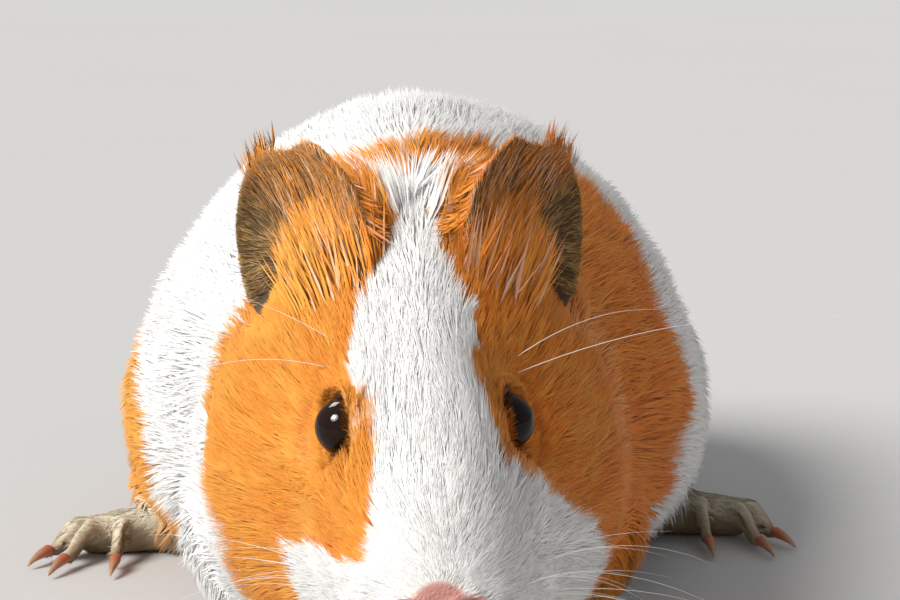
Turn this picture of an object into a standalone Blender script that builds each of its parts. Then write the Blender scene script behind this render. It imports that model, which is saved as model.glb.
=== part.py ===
"""A life-size, crouching guinea pig, built as the outer surface of its coat and parted into its named pieces.

The animal faces -Y, stands on Z = 0 and has its left side at +X. Lengths are worked out in millimetres
and turned into metres when a mesh is made. "Out" is the distance to the side of the middle plane, and
"behind" is the distance back from the tip of the nose.
"""

import math

import bmesh
import bpy
import numpy as np
from mathutils import Matrix, Vector

MM = 0.001
GAP = 0.3  # kept between neighbouring pieces
SIDES = {"left": 1, "right": -1}

# Head and trunk: each line is (distance behind the nose, value), read as a smooth curve.
BODY_LENGTH = 240.0
BACK_LINE = [(0, 53.5), (10, 60.5), (22, 68.5), (38, 77), (58, 86.5), (78, 93), (105, 97.3), (135, 98.4),
             (165, 96.5), (195, 91), (220, 83), (240, 74)]
BELLY_LINE = [(0, 29), (10, 21), (22, 16.5), (38, 13.5), (70, 10), (105, 4.0), (140, 0.4), (180, -0.5),
              (215, 0.6), (240, 5)]
WIDEST_LINE = [(0, 39), (38, 38.5), (75, 38), (105, 35), (145, 31), (240, 29)]
HALF_WIDTH_LINE = [(0, 12), (8, 14), (16, 16), (28, 19), (38, 22.5), (52, 30), (66, 36.2), (78, 38.3), (90, 39.2),
                   (106, 45.5), (125, 53), (148, 58.5), (170, 59), (195, 57.5), (220, 52), (240, 45)]
UPPER_POWER_LINE = [(0, 2.1), (20, 1.95), (36, 1.75), (60, 1.75), (90, 1.75), (140, 1.7), (178, 1.9), (240, 2.3)]
LOWER_POWER_LINE = [(0, 2.1), (40, 2.3), (100, 2.5), (160, 2.7), (240, 2.4)]
NOSE_TIP_HEIGHT = 40.0
NOSE_ROUNDING, NOSE_BLUNTNESS = 9.0, 2.4
RUMP_TIP_HEIGHT = 30.0
RUMP_ROUNDING, RUMP_BLUNTNESS = 52.0, 2.25
RING_POINTS = 48
STATIONS = 90

# The head is turned a little to its left and rolled a little, and the neck takes up the twist.
HEAD_TURN, HEAD_ROLL = math.radians(3.6), math.radians(1.0)
NECK_PIVOT = Vector((0, 84, 60))
TWIST_STARTS, TWIST_ENDS = 102.0, 64.0  # behind the nose

# Each place on the head is (out, behind, up).
EYE_PLACE = Vector((12.3, 36.5, 57.6))
EYE_RADIUS = 4.9
EYE_HOLLOW_PLACE = Vector((22.2, 34.0, 59.5))
EYE_HOLLOW_RADIUS = 9.4
NOSE_PAD_PLACE = Vector((0, -0.5, 40.8))
NOSE_PAD_RADII = Vector((7.0, 4.2, 4.8))
MOUTH_HEIGHT, MOUTH_CORNER = 28.5, 21.0
EAR_ROOT = Vector((16.8, 68, 79))
EAR_SPREAD, EAR_RISE = Vector((1.0, 1.05, 0)), Vector((0, 0.1, 1.0))
EAR_FACING = Vector((0.0, -1.0, 0))
EAR_DISH, EAR_CURL = 6.0, 2.5
EAR_THICKNESS = 1.6
EAR_RINGS, EAR_SPOKES = 5, 24
# Degrees round the ear's root, from outward over upward, and how far off the rim is as seen from the front
EAR_RIM = [(-160, 7), (-110, 11.5), (-75, 14.5), (-58, 14.3), (-42, 14), (-27, 12.9), (-2, 12.6), (15, 13.3),
           (31, 14.7), (51, 17.4), (62, 18.9), (70, 19.2), (80, 18.5), (90, 20.6), (105, 17.4), (120, 14.6),
           (140, 11), (200, 7)]

# Legs: each point is (out, behind, up, radius) on the middle line.
FORELEG = [(27, 104, 34, 15), (33, 100, 22, 11.5), (30, 94, 12, 7.8), (26.5, 87, 6.8, 5.8), (25, 82, 5, 5.2)]
FOREPAW = [(25, 84, 4.6, 5.3), (24.7, 78, 3.9, 5.6), (24.7, 73.5, 3.1, 4.6)]
FOREPAW_SEAM = (Vector((25, 73, 3)), Vector((13, 16.5, 7.8)))  # centre and radii, as are the other seams
ARM_SEAM, ARM_LEAN = (Vector((30.5, 95.5, 19)), Vector((13.5, 12.5, 27))), 37
HIND_LEG = [(36, 166, 26, 15), (37, 163, 15, 10.5), (42, 160, 8.2, 7.4), (49, 157.5, 5.4, 5.9), (57, 156.5, 4.6, 5.4),
            (64, 156, 4.2, 5.1), (68.5, 155.5, 3.8, 4.6)]
THIGH_PLACE, THIGH_RADII = Vector((37, 166, 29)), Vector((26, 33, 30))
THIGH_SEAM = (Vector((50, 167, 30)), Vector((24, 35, 36)))
FOOT_SEAM, FOOT_LEAN = (Vector((43, 125, -10)), Vector((120, 178, 12.5))), 1.0  # its lowest and highest corners
HIND_STEP_BACK = {"left": 13.0, "right": 0.0}  # the left hind foot stands further back

# Toes: each is (root out, root behind, heading in degrees outward of straight ahead, length), with its claw after it.
FORE_TOES = [(20.4, 72.8, -20, 8.2), (23.4, 71, -6, 9.6), (26.5, 71.2, 10, 9.2), (29.4, 73.2, 28, 7.2)]
HIND_TOES = [(61.2, 153.2, 3, 10.4), (68.0, 152.5, 22, 10.6), (71.0, 155.0, 36, 8.2)]
TOE_RADIUS = {"fore": 1.9, "hind": 2.4}
KNUCKLE_HEIGHT = {"fore": 3.4, "hind": 6.3}
CLAW_LENGTH = {"fore": 5.0, "hind": 7.4}
CLAW_RADIUS = {"fore": 1.0, "hind": 1.35}
TOE_ARCH = [(0, 0.88, 1.25), (0.3, 1.0, 1.12), (0.65, 0.70, 1.0), (1.0, 0.36, 0.9)]  # share, height, thickness
CLAW_BEND = [(-0.08, 0.3, 0.8), (0.15, 0.45, 1.0), (0.5, 0.2, 0.78), (0.8, -0.3, 0.5), (1.0, -0.9, 0.3)]

# Seams across the body: how far behind the nose, and how far each leans back for each unit of height
HEAD_SEAM, HEAD_LEAN = 66, 0.12
NECK_SEAM = 94
TRUNK_SEAM, TRUNK_LEAN = 203, -0.1
JAW_BEHIND_MOUTH, JAW_LEAN = 20, -0.7
SEAM_REACH = 150  # past the body's sides

FLESH_VOXEL = 1.1
SOFTENING_ROUNDS = 6
FLESH_TRIANGLES = 2700
CLAW_VOXEL = 0.25
CLAW_TRIANGLES = 50

COLOURS = {  # base colour and roughness
    "ginger": ((0.72, 0.27, 0.06), 0.85),
    "white": ((0.90, 0.88, 0.84), 0.85),
    "ear": ((0.22, 0.13, 0.08), 0.75),
    "foot": ((0.62, 0.48, 0.34), 0.7),
    "nose": ((0.75, 0.42, 0.37), 0.5),
    "claw": ((0.70, 0.38, 0.30), 0.35),
    "eye": ((0.010, 0.008, 0.008), 0.05),
}


def clear_scene():
    for obj in list(bpy.data.objects):
        bpy.data.objects.remove(obj, do_unlink=True)


def make_collection(name, hidden=False):
    made = bpy.data.collections.new(name)
    bpy.context.scene.collection.children.link(made)
    made.hide_render = hidden
    return made


def principled(name):
    colour, roughness = COLOURS[name]
    material = bpy.data.materials.new(name)
    material.use_nodes = True
    shader = material.node_tree.nodes["Principled BSDF"]
    shader.inputs["Base Color"].default_value = (*colour, 1)
    shader.inputs["Roughness"].default_value = roughness
    shader.inputs["Metallic"].default_value = 0
    return material


def read_line(line, where):
    """The value of a (distance, value) line at a distance, on a smooth curve through its knots."""
    places, values = (np.array(column, float) for column in zip(*line))
    slopes = np.gradient(values, places)
    where = min(max(where, places[0]), places[-1])
    i = min(max(int(np.searchsorted(places, where)) - 1, 0), len(places) - 2)
    span = places[i + 1] - places[i]
    t = (where - places[i]) / span
    from_start = (2 * t**3 - 3 * t**2 + 1) * values[i] + (t**3 - 2 * t**2 + t) * span * slopes[i]
    to_end = (3 * t**2 - 2 * t**3) * values[i + 1] + (t**3 - t**2) * span * slopes[i + 1]
    return float(from_start + to_end)


def smooth_step(t):
    t = min(1.0, max(0.0, t))
    return t * t * (3 - 2 * t)


def new_object(name, mesh, collection):
    obj = bpy.data.objects.new(name, mesh)
    collection.objects.link(obj)
    return obj


def object_from(bm, name, collection):
    bm.normal_update()
    bmesh.ops.recalc_face_normals(bm, faces=bm.faces)
    mesh = bpy.data.meshes.new(name)
    bm.to_mesh(mesh)
    bm.free()
    return new_object(name, mesh, collection)


def pose_head(obj):
    """Turns and rolls what is ahead of the neck, with the twist spread along the neck."""
    pivot = NECK_PIVOT * MM
    for vertex in obj.data.vertices:
        behind = vertex.co.y / MM
        share = smooth_step((TWIST_STARTS - behind) / (TWIST_STARTS - TWIST_ENDS))
        turn = Matrix.Rotation(HEAD_TURN * share, 3, "Z") @ Matrix.Rotation(-HEAD_ROLL * share, 3, "Y")
        vertex.co = pivot + turn @ (vertex.co - pivot)
    return obj


def opening(behind):
    """How far open a section is: 0 at the very tip of nose or rump, and 1 away from both ends."""
    nose = min(1.0, behind / NOSE_ROUNDING)
    rump = min(1.0, (BODY_LENGTH - behind) / RUMP_ROUNDING)
    nose_open = (1 - (1 - nose) ** NOSE_BLUNTNESS) ** (1 / NOSE_BLUNTNESS)
    rump_open = (1 - (1 - rump) ** RUMP_BLUNTNESS) ** (1 / RUMP_BLUNTNESS)
    return nose_open * rump_open


def section(behind):
    """One closed, egg-shaped cross-section of the head or trunk."""
    opened = opening(behind)
    tip = NOSE_TIP_HEIGHT if behind < BODY_LENGTH / 2 else RUMP_TIP_HEIGHT
    top, bottom, widest = (tip + (read_line(line, behind) - tip) * opened
                           for line in (BACK_LINE, BELLY_LINE, WIDEST_LINE))
    half_width = read_line(HALF_WIDTH_LINE, behind) * opened
    points = []
    for k in range(RING_POINTS):
        angle = 2 * math.pi * k / RING_POINTS
        upper = math.sin(angle) > 0
        power = read_line(UPPER_POWER_LINE if upper else LOWER_POWER_LINE, behind)
        reach = (top if upper else bottom) - widest
        out = half_width * math.copysign(abs(math.cos(angle)) ** (2 / power), math.cos(angle))
        points.append(Vector((out, behind, widest + reach * abs(math.sin(angle)) ** (2 / power))) * MM)
    return points


def body_shell(collection):
    """Head, neck and trunk in one loft, with its stations closest together at nose and rump."""
    bm = bmesh.new()
    rings = []
    for i in range(STATIONS + 1):
        share = 0.5 - 0.5 * math.cos(math.pi * (i + 0.35) / (STATIONS + 0.7))
        ring = bmesh.ops.create_circle(bm, segments=RING_POINTS, radius=MM)["verts"]
        for vertex, point in zip(ring, section(BODY_LENGTH * share)):
            vertex.co = point
        rings.append(ring)
    for first, second in zip(rings, rings[1:]):
        for k in range(RING_POINTS):
            after = (k + 1) % RING_POINTS
            bm.faces.new((first[k], first[after], second[after], second[k]))
    for ring in (rings[0], rings[-1]):
        bm.faces.new(ring)
    return pose_head(object_from(bm, "body_shell", collection))


def limb(name, line, collection, side=1, step_back=0.0):
    """A tapering limb: a curve with a radius at each of its points, and a ball at both ends, in one mesh."""
    curve = bpy.data.curves.new(name, "CURVE")
    curve.dimensions = "3D"
    curve.bevel_depth = MM
    curve.bevel_resolution = 3
    curve.resolution_u = 5
    curve.use_fill_caps = True
    spline = curve.splines.new("BEZIER")
    spline.bezier_points.add(len(line) - 1)
    for point, (out, behind, up, radius) in zip(spline.bezier_points, line):
        point.co = Vector((side * out, behind + step_back, up)) * MM
        point.radius = radius
        point.handle_left_type = point.handle_right_type = "AUTO"
    drawn = new_object(name, curve, collection)
    bpy.context.view_layer.update()
    tube = bpy.data.meshes.new_from_object(drawn.evaluated_get(bpy.context.evaluated_depsgraph_get()))
    bpy.data.objects.remove(drawn)
    bm = bmesh.new()
    bm.from_mesh(tube)
    bmesh.ops.remove_doubles(bm, verts=bm.verts, dist=MM / 1000)
    for out, behind, up, radius in (line[0], line[-1]):
        ball = bmesh.ops.create_uvsphere(bm, u_segments=14, v_segments=9, radius=radius * MM)["verts"]
        bmesh.ops.translate(bm, verts=ball, vec=Vector((side * out, behind + step_back, up)) * MM)
    return object_from(bm, name, collection)


def ellipsoid(name, centre, radii, collection, side=1, step_back=0.0, lean=0.0, segments=16):
    """An ellipsoid whose top may lean back by some degrees."""
    bm = bmesh.new()
    bmesh.ops.create_uvsphere(bm, u_segments=segments, v_segments=segments * 5 // 8, radius=MM)
    bmesh.ops.scale(bm, vec=radii, verts=bm.verts)
    bmesh.ops.rotate(bm, matrix=Matrix.Rotation(math.radians(-lean), 3, "X"), verts=bm.verts)
    bmesh.ops.translate(bm, vec=Vector((side * centre.x, centre.y + step_back, centre.z)) * MM, verts=bm.verts)
    return object_from(bm, name, collection)


def block(name, low, high, collection, lean_out=0.0, lean_back=0.0, side=1):
    """A box between two corners, whose upright faces may lean: so much out or back for each millimetre up."""
    bm = bmesh.new()
    bmesh.ops.create_cube(bm, size=2)
    for vertex in bm.verts:
        corner = Vector([high[i] if vertex.co[i] > 0 else low[i] for i in range(3)])
        corner.x += lean_out * corner.z
        corner.y += lean_back * corner.z
        vertex.co = Vector((side * corner.x, corner.y, corner.z)) * MM
    return object_from(bm, name, collection)


def toe_line(toe, which):
    """An arched toe: it rises to its knuckle a third of the way out, and comes down to its pad."""
    out, behind, heading, length = toe
    ahead = Vector((math.sin(math.radians(heading)), -math.cos(math.radians(heading))))
    line = []
    for share, height, thickness in TOE_ARCH:
        radius = TOE_RADIUS[which] * thickness
        spot = Vector((out, behind)) + ahead * length * share
        line.append((spot.x, spot.y, max(radius * 0.7, KNUCKLE_HEIGHT[which] * height), radius))
    return line


def claw_line(toe, which):
    """A claw's line, on from its toe's tip, with a slight downward bend to a blunt point."""
    (x0, y0, _, _), (x1, y1, z1, _) = toe_line(toe, which)[-2:]
    ahead = Vector((x1 - x0, y1 - y0)).normalized()
    line = []
    for share, rise, thickness in CLAW_BEND:
        radius = CLAW_RADIUS[which] * thickness
        spot = Vector((x1, y1)) + ahead * CLAW_LENGTH[which] * share
        line.append((spot.x, spot.y, max(radius + GAP, z1 + rise * CLAW_RADIUS[which]), radius))
    return line


def merged(name, objects, collection):
    """All these closed meshes as one object, overlaps and all."""
    bm = bmesh.new()
    for obj in objects:
        bm.from_mesh(obj.data)
        bpy.data.objects.remove(obj)
    return object_from(bm, name, collection)


def applied(obj):
    """The object with its modifiers turned into mesh."""
    bpy.context.view_layer.update()
    evaluated = obj.evaluated_get(bpy.context.evaluated_depsgraph_get())
    mesh = bpy.data.meshes.new_from_object(evaluated)
    obj.modifiers.clear()
    obj.data = mesh
    return obj


def remeshed(obj, voxel):
    modifier = obj.modifiers.new("blend", "REMESH")
    modifier.mode = "VOXEL"
    modifier.voxel_size = voxel * MM
    return applied(obj)


def thinned(obj, triangles):
    now = sum(len(face.vertices) - 2 for face in obj.data.polygons)
    obj.modifiers.new("fewer", "DECIMATE").ratio = triangles / now
    return applied(obj)


def cut(obj, cutter, operation="DIFFERENCE"):
    modifier = obj.modifiers.new("cut", "BOOLEAN")
    modifier.object = cutter
    modifier.operation = operation
    modifier.solver = "EXACT"
    return applied(obj)


def largest_body(obj):
    """Drops the slivers that a cut may leave apart from the main body."""
    bm = bmesh.new()
    bm.from_mesh(obj.data)
    unseen = set(bm.verts)
    bodies = []
    while unseen:
        body = [unseen.pop()]
        for vertex in body:
            found = {edge.other_vert(vertex) for edge in vertex.link_edges} & unseen
            unseen -= found
            body += sorted(found, key=lambda one: one.index)
        bodies.append(body)
    bodies.sort(key=len)
    bmesh.ops.delete(bm, geom=[vertex for body in bodies[:-1] for vertex in body], context="VERTS")
    bm.to_mesh(obj.data)
    bm.free()
    return obj


def grown(obj, by, name, collection):
    """A copy of a closed mesh whose surface is moved out along its normals."""
    bm = bmesh.new()
    bm.from_mesh(obj.data)
    bm.normal_update()
    moved = {vertex: vertex.co + vertex.normal * by * vertex.calc_shell_factor() * MM for vertex in bm.verts}
    for vertex, place in moved.items():
        vertex.co = place
    return object_from(bm, name, collection)


def whole_flesh(parts, cutters):
    """Head, trunk and limbs grown together into one smooth form, flat where it rests on the floor."""
    pieces = [body_shell(parts)]
    for label, side in SIDES.items():
        back = HIND_STEP_BACK[label]
        pieces.append(limb("foreleg", FORELEG, parts, side))
        pieces.append(limb("forepaw", FOREPAW, parts, side))
        pieces.append(limb("hind_leg", HIND_LEG, parts, side, back))
        pieces.append(ellipsoid("thigh", THIGH_PLACE, THIGH_RADII, parts, side, back / 2))
        pieces += [limb("toe", toe_line(toe, "fore"), parts, side) for toe in FORE_TOES]
        pieces += [limb("toe", toe_line(toe, "hind"), parts, side, back) for toe in HIND_TOES]
    flesh = remeshed(merged("flesh", pieces, parts), FLESH_VOXEL)
    for side in SIDES.values():
        hollow = ellipsoid("eye_hollow", EYE_HOLLOW_PLACE, Vector((EYE_HOLLOW_RADIUS,) * 3), cutters, side,
                           segments=48)
        cut(flesh, pose_head(hollow))
    remeshed(flesh, FLESH_VOXEL)
    softer = flesh.modifiers.new("soften", "SMOOTH")
    softer.iterations = SOFTENING_ROUNDS
    applied(flesh)
    thinned(flesh, FLESH_TRIANGLES)
    return cut(flesh, block("below_floor", (-200, -60, -60), (200, 320, 0), cutters))


def ear_point(share, degrees, side):
    """A point of the ear's sheet, a share of the way out to its rim: dished, with its rim curled to the front."""
    angle = math.radians(degrees)
    reach = share * read_line(EAR_RIM, degrees if degrees <= 200 else degrees - 360)
    flat = EAR_ROOT + EAR_SPREAD * reach * math.cos(angle) + EAR_RISE * reach * math.sin(angle)
    forward = EAR_DISH * share**2 + EAR_CURL * share**4 * abs(math.sin(angle))
    spot = flat + EAR_FACING * forward
    return Vector((side * spot.x, spot.y, spot.z)) * MM


def ear(label, clearance, parts):
    """A cupped petal with a pinched upper tip, hollow side to the front, that ends just short of the head."""
    side = SIDES[label]
    bm = bmesh.new()
    centre = bm.verts.new(ear_point(0, 0, side))
    rings = []
    for i in range(1, EAR_RINGS + 1):
        spokes = range(EAR_SPOKES)
        rings.append([bm.verts.new(ear_point(i / EAR_RINGS, 360 * k / EAR_SPOKES, side)) for k in spokes])
    for k in range(EAR_SPOKES):
        after = (k + 1) % EAR_SPOKES
        bm.faces.new((centre, rings[0][k], rings[0][after]))
        for inner, outer in zip(rings, rings[1:]):
            bm.faces.new((inner[k], outer[k], outer[after], inner[after]))
    sheet = object_from(bm, f"ear_{label}", parts)
    wall = sheet.modifiers.new("wall", "SOLIDIFY")
    wall.thickness = EAR_THICKNESS * MM
    wall.offset = 0
    return cut(pose_head(applied(sheet)), clearance)


def eye(label, parts):
    return pose_head(ellipsoid(f"eye_{label}", EYE_PLACE, Vector((EYE_RADIUS,) * 3), parts, SIDES[label]))


def claws(which, toes, label, clearance, parts):
    back = HIND_STEP_BACK[label] if which == "hind" else 0.0
    made = []
    for number, toe in enumerate(toes, 1):
        claw = limb(f"claw_{which}_{label}_{number}", claw_line(toe, which), parts, SIDES[label], back)
        cut(remeshed(claw, CLAW_VOXEL), clearance)
        remeshed(largest_body(claw), CLAW_VOXEL)
        made.append(thinned(claw, CLAW_TRIANGLES))
    return made


def part_off(rest, name, cutter, cutters):
    """Takes what is inside the cutter as a piece of its own, and leaves a thin gap behind it."""
    piece = new_object(name, rest.data.copy(), rest.users_collection[0])
    cut(piece, cutter, "INTERSECT")
    cut(rest, grown(cutter, GAP, f"{cutter.name}_gap", cutters))
    return piece


def finish(obj, material, root):
    """Gives the piece its finish and its own origin, and hangs it on the model's root."""
    corners = [vertex.co for vertex in obj.data.vertices]
    middle = Vector([(min(c[i] for c in corners) + max(c[i] for c in corners)) / 2 for i in range(3)])
    obj.data.transform(Matrix.Translation(-middle))
    obj.location = middle
    obj.data.materials.clear()
    obj.data.materials.append(material)
    obj.data.shade_smooth()
    obj.data.set_sharp_from_angle(angle=math.radians(50))
    obj.parent = root


def stand_at_origin(root, objects):
    """Puts the middle of the model's box over the origin, and the flats that it rests on at Z = 0."""
    bpy.context.view_layer.update()
    corners = [obj.matrix_world @ vertex.co for obj in objects for vertex in obj.data.vertices]
    low, high = (Vector([pick(c[i] for c in corners) for i in range(3)]) for pick in (min, max))
    root.location = -Vector(((low.x + high.x) / 2, (low.y + high.y) / 2, low.z))


def build():
    clear_scene()
    parts = make_collection("guinea_pig")
    cutters = make_collection("cutters", hidden=True)
    materials = {name: principled(name) for name in COLOURS}
    rest = whole_flesh(parts, cutters)
    clearance = grown(rest, GAP, "clearance", cutters)

    made = []
    for label in SIDES:
        made.append((ear(label, clearance, parts), "ear"))
        made.append((eye(label, parts), "eye"))
        made += [(claw, "claw") for claw in claws("fore", FORE_TOES, label, clearance, parts)]
        made += [(claw, "claw") for claw in claws("hind", HIND_TOES, label, clearance, parts)]
        socket = grown(bpy.data.objects[f"eye_{label}"], GAP, f"socket_{label}", cutters)
        cut(rest, socket)

    nose = pose_head(ellipsoid("nose_seam", NOSE_PAD_PLACE, NOSE_PAD_RADII, cutters, segments=12))
    made.append((part_off(rest, "nose", nose, cutters), "nose"))
    jaw = block("jaw_seam", (-SEAM_REACH, -SEAM_REACH, -SEAM_REACH),
                (SEAM_REACH, MOUTH_CORNER + JAW_BEHIND_MOUTH, MOUTH_HEIGHT), cutters, lean_back=JAW_LEAN)
    pose_head(jaw)
    made.append((part_off(rest, "lower_jaw", jaw, cutters), "white"))
    for label, side in SIDES.items():
        back = HIND_STEP_BACK[label]
        step = Vector((0, back, 0))
        foot = block(f"foot_seam_{label}", *(corner + step for corner in FOOT_SEAM), cutters, FOOT_LEAN, side=side)
        made.append((part_off(rest, f"hind_foot_{label}", foot, cutters), "foot"))
        thigh = ellipsoid(f"thigh_seam_{label}", *THIGH_SEAM, cutters, side, back / 2)
        made.append((part_off(rest, f"thigh_{label}", thigh, cutters), "white" if label == "left" else "ginger"))
        paw = ellipsoid(f"paw_seam_{label}", *FOREPAW_SEAM, cutters, side)
        made.append((part_off(rest, f"forepaw_{label}", paw, cutters), "foot"))
        arm = ellipsoid(f"arm_seam_{label}", *ARM_SEAM, cutters, side, lean=ARM_LEAN, segments=12)
        made.append((part_off(rest, f"foreleg_{label}", arm, cutters), "white"))
    ahead = (-SEAM_REACH, -SEAM_REACH, -SEAM_REACH)
    head = block("head_seam", ahead, (SEAM_REACH, HEAD_SEAM, SEAM_REACH), cutters, lean_back=HEAD_LEAN)
    made.append((part_off(rest, "head", head, cutters), "ginger"))
    neck = block("neck_seam", ahead, (SEAM_REACH, NECK_SEAM, SEAM_REACH), cutters)
    made.append((part_off(rest, "neck", neck, cutters), "ginger"))
    trunk = block("trunk_seam", ahead, (SEAM_REACH, TRUNK_SEAM, SEAM_REACH), cutters, lean_back=TRUNK_LEAN)
    made.append((part_off(rest, "trunk", trunk, cutters), "white"))
    rest.name = "rump"
    made.append((rest, "white"))

    for cutter in cutters.objects:
        cutter.hide_render = True
        cutter.display_type = "WIRE"
    root = bpy.data.objects.new("guinea_pig_root", None)
    parts.objects.link(root)
    for obj, finish_name in made:
        finish(obj, materials[finish_name], root)
    stand_at_origin(root, [obj for obj, _ in made])


build()
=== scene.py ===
import math

import bmesh
import bpy
import numpy as np
from mathutils import Matrix, Vector
from mathutils.bvhtree import BVHTree
from mathutils.kdtree import KDTree


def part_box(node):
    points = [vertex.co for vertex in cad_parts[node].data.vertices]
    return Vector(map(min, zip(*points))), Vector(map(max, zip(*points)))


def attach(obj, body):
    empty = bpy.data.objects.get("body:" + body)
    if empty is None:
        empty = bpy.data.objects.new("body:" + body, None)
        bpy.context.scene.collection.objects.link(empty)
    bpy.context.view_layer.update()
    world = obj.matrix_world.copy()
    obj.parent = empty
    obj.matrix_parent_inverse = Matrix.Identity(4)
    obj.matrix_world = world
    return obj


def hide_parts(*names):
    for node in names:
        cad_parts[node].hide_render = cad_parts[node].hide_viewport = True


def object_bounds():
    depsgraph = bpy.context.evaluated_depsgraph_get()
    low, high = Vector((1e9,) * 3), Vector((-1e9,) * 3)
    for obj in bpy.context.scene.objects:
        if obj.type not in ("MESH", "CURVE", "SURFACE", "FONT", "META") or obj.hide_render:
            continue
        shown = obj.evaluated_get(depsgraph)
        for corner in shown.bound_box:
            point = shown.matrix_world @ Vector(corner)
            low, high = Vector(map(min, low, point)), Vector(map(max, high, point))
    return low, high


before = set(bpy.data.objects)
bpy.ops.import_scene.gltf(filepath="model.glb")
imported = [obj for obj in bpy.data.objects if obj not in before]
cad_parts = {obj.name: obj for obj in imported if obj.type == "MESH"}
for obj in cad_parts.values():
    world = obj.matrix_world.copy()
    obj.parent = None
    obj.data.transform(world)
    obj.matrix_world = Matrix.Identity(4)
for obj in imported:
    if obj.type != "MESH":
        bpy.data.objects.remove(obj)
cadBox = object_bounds()

# A guinea pig lying in wait: one skin, a coat of fine tufts over it, eyes, claws and whiskers.
# It faces -Y with its left side at +X. Lengths in the dictionaries are millimetres:
# "out" from the middle plane, "behind" the tip of the nose and "up" from the floor.

mm = 0.001
noseY = cadBox[0].y
dice = np.random.default_rng(11)

def toBody(points):  # frame coordinates in metres to out, behind, up in millimetres
    points = np.asarray(points, float)
    return np.stack([points[:, 0], points[:, 1] - noseY, points[:, 2]], 1) / mm


def lineAt(line, where):  # reads a line of (place, value) knots
    places, values = zip(*line)
    return np.interp(where, places, values)


def smoothStep(values, start, end):
    share = np.clip((values - start) / (end - start), 0, 1)
    return share * share * (3 - 2 * share)


def atLeast(least, share):  # from least where the share is 0 up to 1
    return least + (1 - least) * share


def hump(values, width):  # 1 at nothing, fading on both sides
    return np.exp(-(values / width) ** 2)


def lengthOf(vectors):
    return np.linalg.norm(vectors, axis=1)


def unit(vectors):
    return vectors / np.maximum(lengthOf(vectors), 1e-9)[:, None]


def waysOf(x, y, z):  # one row for each vertex, from columns or single numbers
    return np.stack(np.broadcast_arrays(x, y, z), 1).astype(float)


def dots(first, second):
    return np.sum(first * second, axis=1, keepdims=True)


def alongSurface(vectors, normals):  # takes away what points into or out of the surface
    return unit(vectors - normals * dots(vectors, normals))


def ripple(points, size, seed):  # smooth noise from crossed waves, about -1 to 1, all in millimetres
    waves = np.random.default_rng(seed)
    total = np.zeros(len(points))
    for _ in range(6):
        heading = waves.normal(size=3)
        heading *= 2 * math.pi / (size * waves.uniform(0.7, 1.6) * np.linalg.norm(heading))
        total += np.sin(points @ heading + waves.uniform(0, 2 * math.pi))
    return total / 2.6


def newObject(name, mesh):
    made = bpy.data.objects.new(name, mesh)
    bpy.context.scene.collection.objects.link(made)
    return made


def finished(name, made):  # a bmesh as an object
    mesh = bpy.data.meshes.new(name)
    made.to_mesh(mesh)
    made.free()
    return newObject(name, mesh)


def mergedCopy(node):  # a CAD node's triangles, joined where they meet
    made = bmesh.new()
    made.from_mesh(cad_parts[node].data)
    bmesh.ops.remove_doubles(made, verts=made.verts, dist=1e-6)
    return made


def bridgeRings(made, first, second):
    both = set(first + second)
    rims = {e for v in both for e in v.link_edges if len(e.link_faces) < 2 and both.issuperset(e.verts)}
    bmesh.ops.bridge_loops(made, edges=list(rims))


def readRows(items, key, width, kind=np.float32):
    values = np.empty(len(items) * width, kind)
    items.foreach_get(key, values)
    return values.reshape(-1, width)


def meshArrays(mesh):  # vertex places, vertex normals, triangles and their corners
    mesh.calc_loop_triangles()
    return (readRows(mesh.vertices, "co", 3).astype(float),
            readRows(mesh.vertices, "normal", 3).astype(float),
            readRows(mesh.loop_triangles, "vertices", 3, np.int32),
            readRows(mesh.loop_triangles, "loops", 3, np.int32))


def edgeArray(mesh):
    return readRows(mesh.edges, "vertices", 2, np.int32)


def soften(values, pairs, rounds, share=0.6):  # each vertex moves towards the average of its neighbours
    values = np.array(values, float)
    flat = values.reshape(len(values), -1)
    degree = np.maximum(np.bincount(pairs.ravel(), minlength=len(flat)), 1)
    for _ in range(rounds):
        for k in range(flat.shape[1]):
            total = (np.bincount(pairs[:, 0], flat[pairs[:, 1], k], len(flat))
                     + np.bincount(pairs[:, 1], flat[pairs[:, 0], k], len(flat)))
            flat[:, k] += share * (total / degree - flat[:, k])
    return flat.reshape(values.shape)


def setPlaces(mesh, places):
    mesh.vertices.foreach_set("co", places.astype(np.float32).ravel())
    mesh.update()


def setSmooth(mesh):
    mesh.polygons.foreach_set("use_smooth", np.ones(len(mesh.polygons), bool))


def writeValues(mesh, **columns):
    for name, values in columns.items():
        layer = mesh.attributes.new(name, "FLOAT", "POINT")
        layer.data.foreach_set("value", np.asarray(values, np.float32).ravel())


def applied(piece):  # the piece's modifiers made real
    evaluated = piece.evaluated_get(bpy.context.evaluated_depsgraph_get())
    mesh = bpy.data.meshes.new_from_object(evaluated)
    piece.modifiers.clear()
    piece.data = mesh
    return piece


def voxelRemeshed(piece, size):
    remesh = piece.modifiers.new("remesh", "REMESH")
    remesh.mode = "VOXEL"
    remesh.voxel_size = size * mm
    return applied(piece)


# the head's turn

head = {
    "turn": 3.6,  # degrees to the animal's left
    "roll": 1.0,
    "pivot": (0, 84, 60),
    "twistStarts": 102, "twistEnds": 64,  # behind the nose
}


def spun(a, b, angle):
    return a * np.cos(angle) - b * np.sin(angle), b * np.cos(angle) + a * np.sin(angle)


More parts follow.
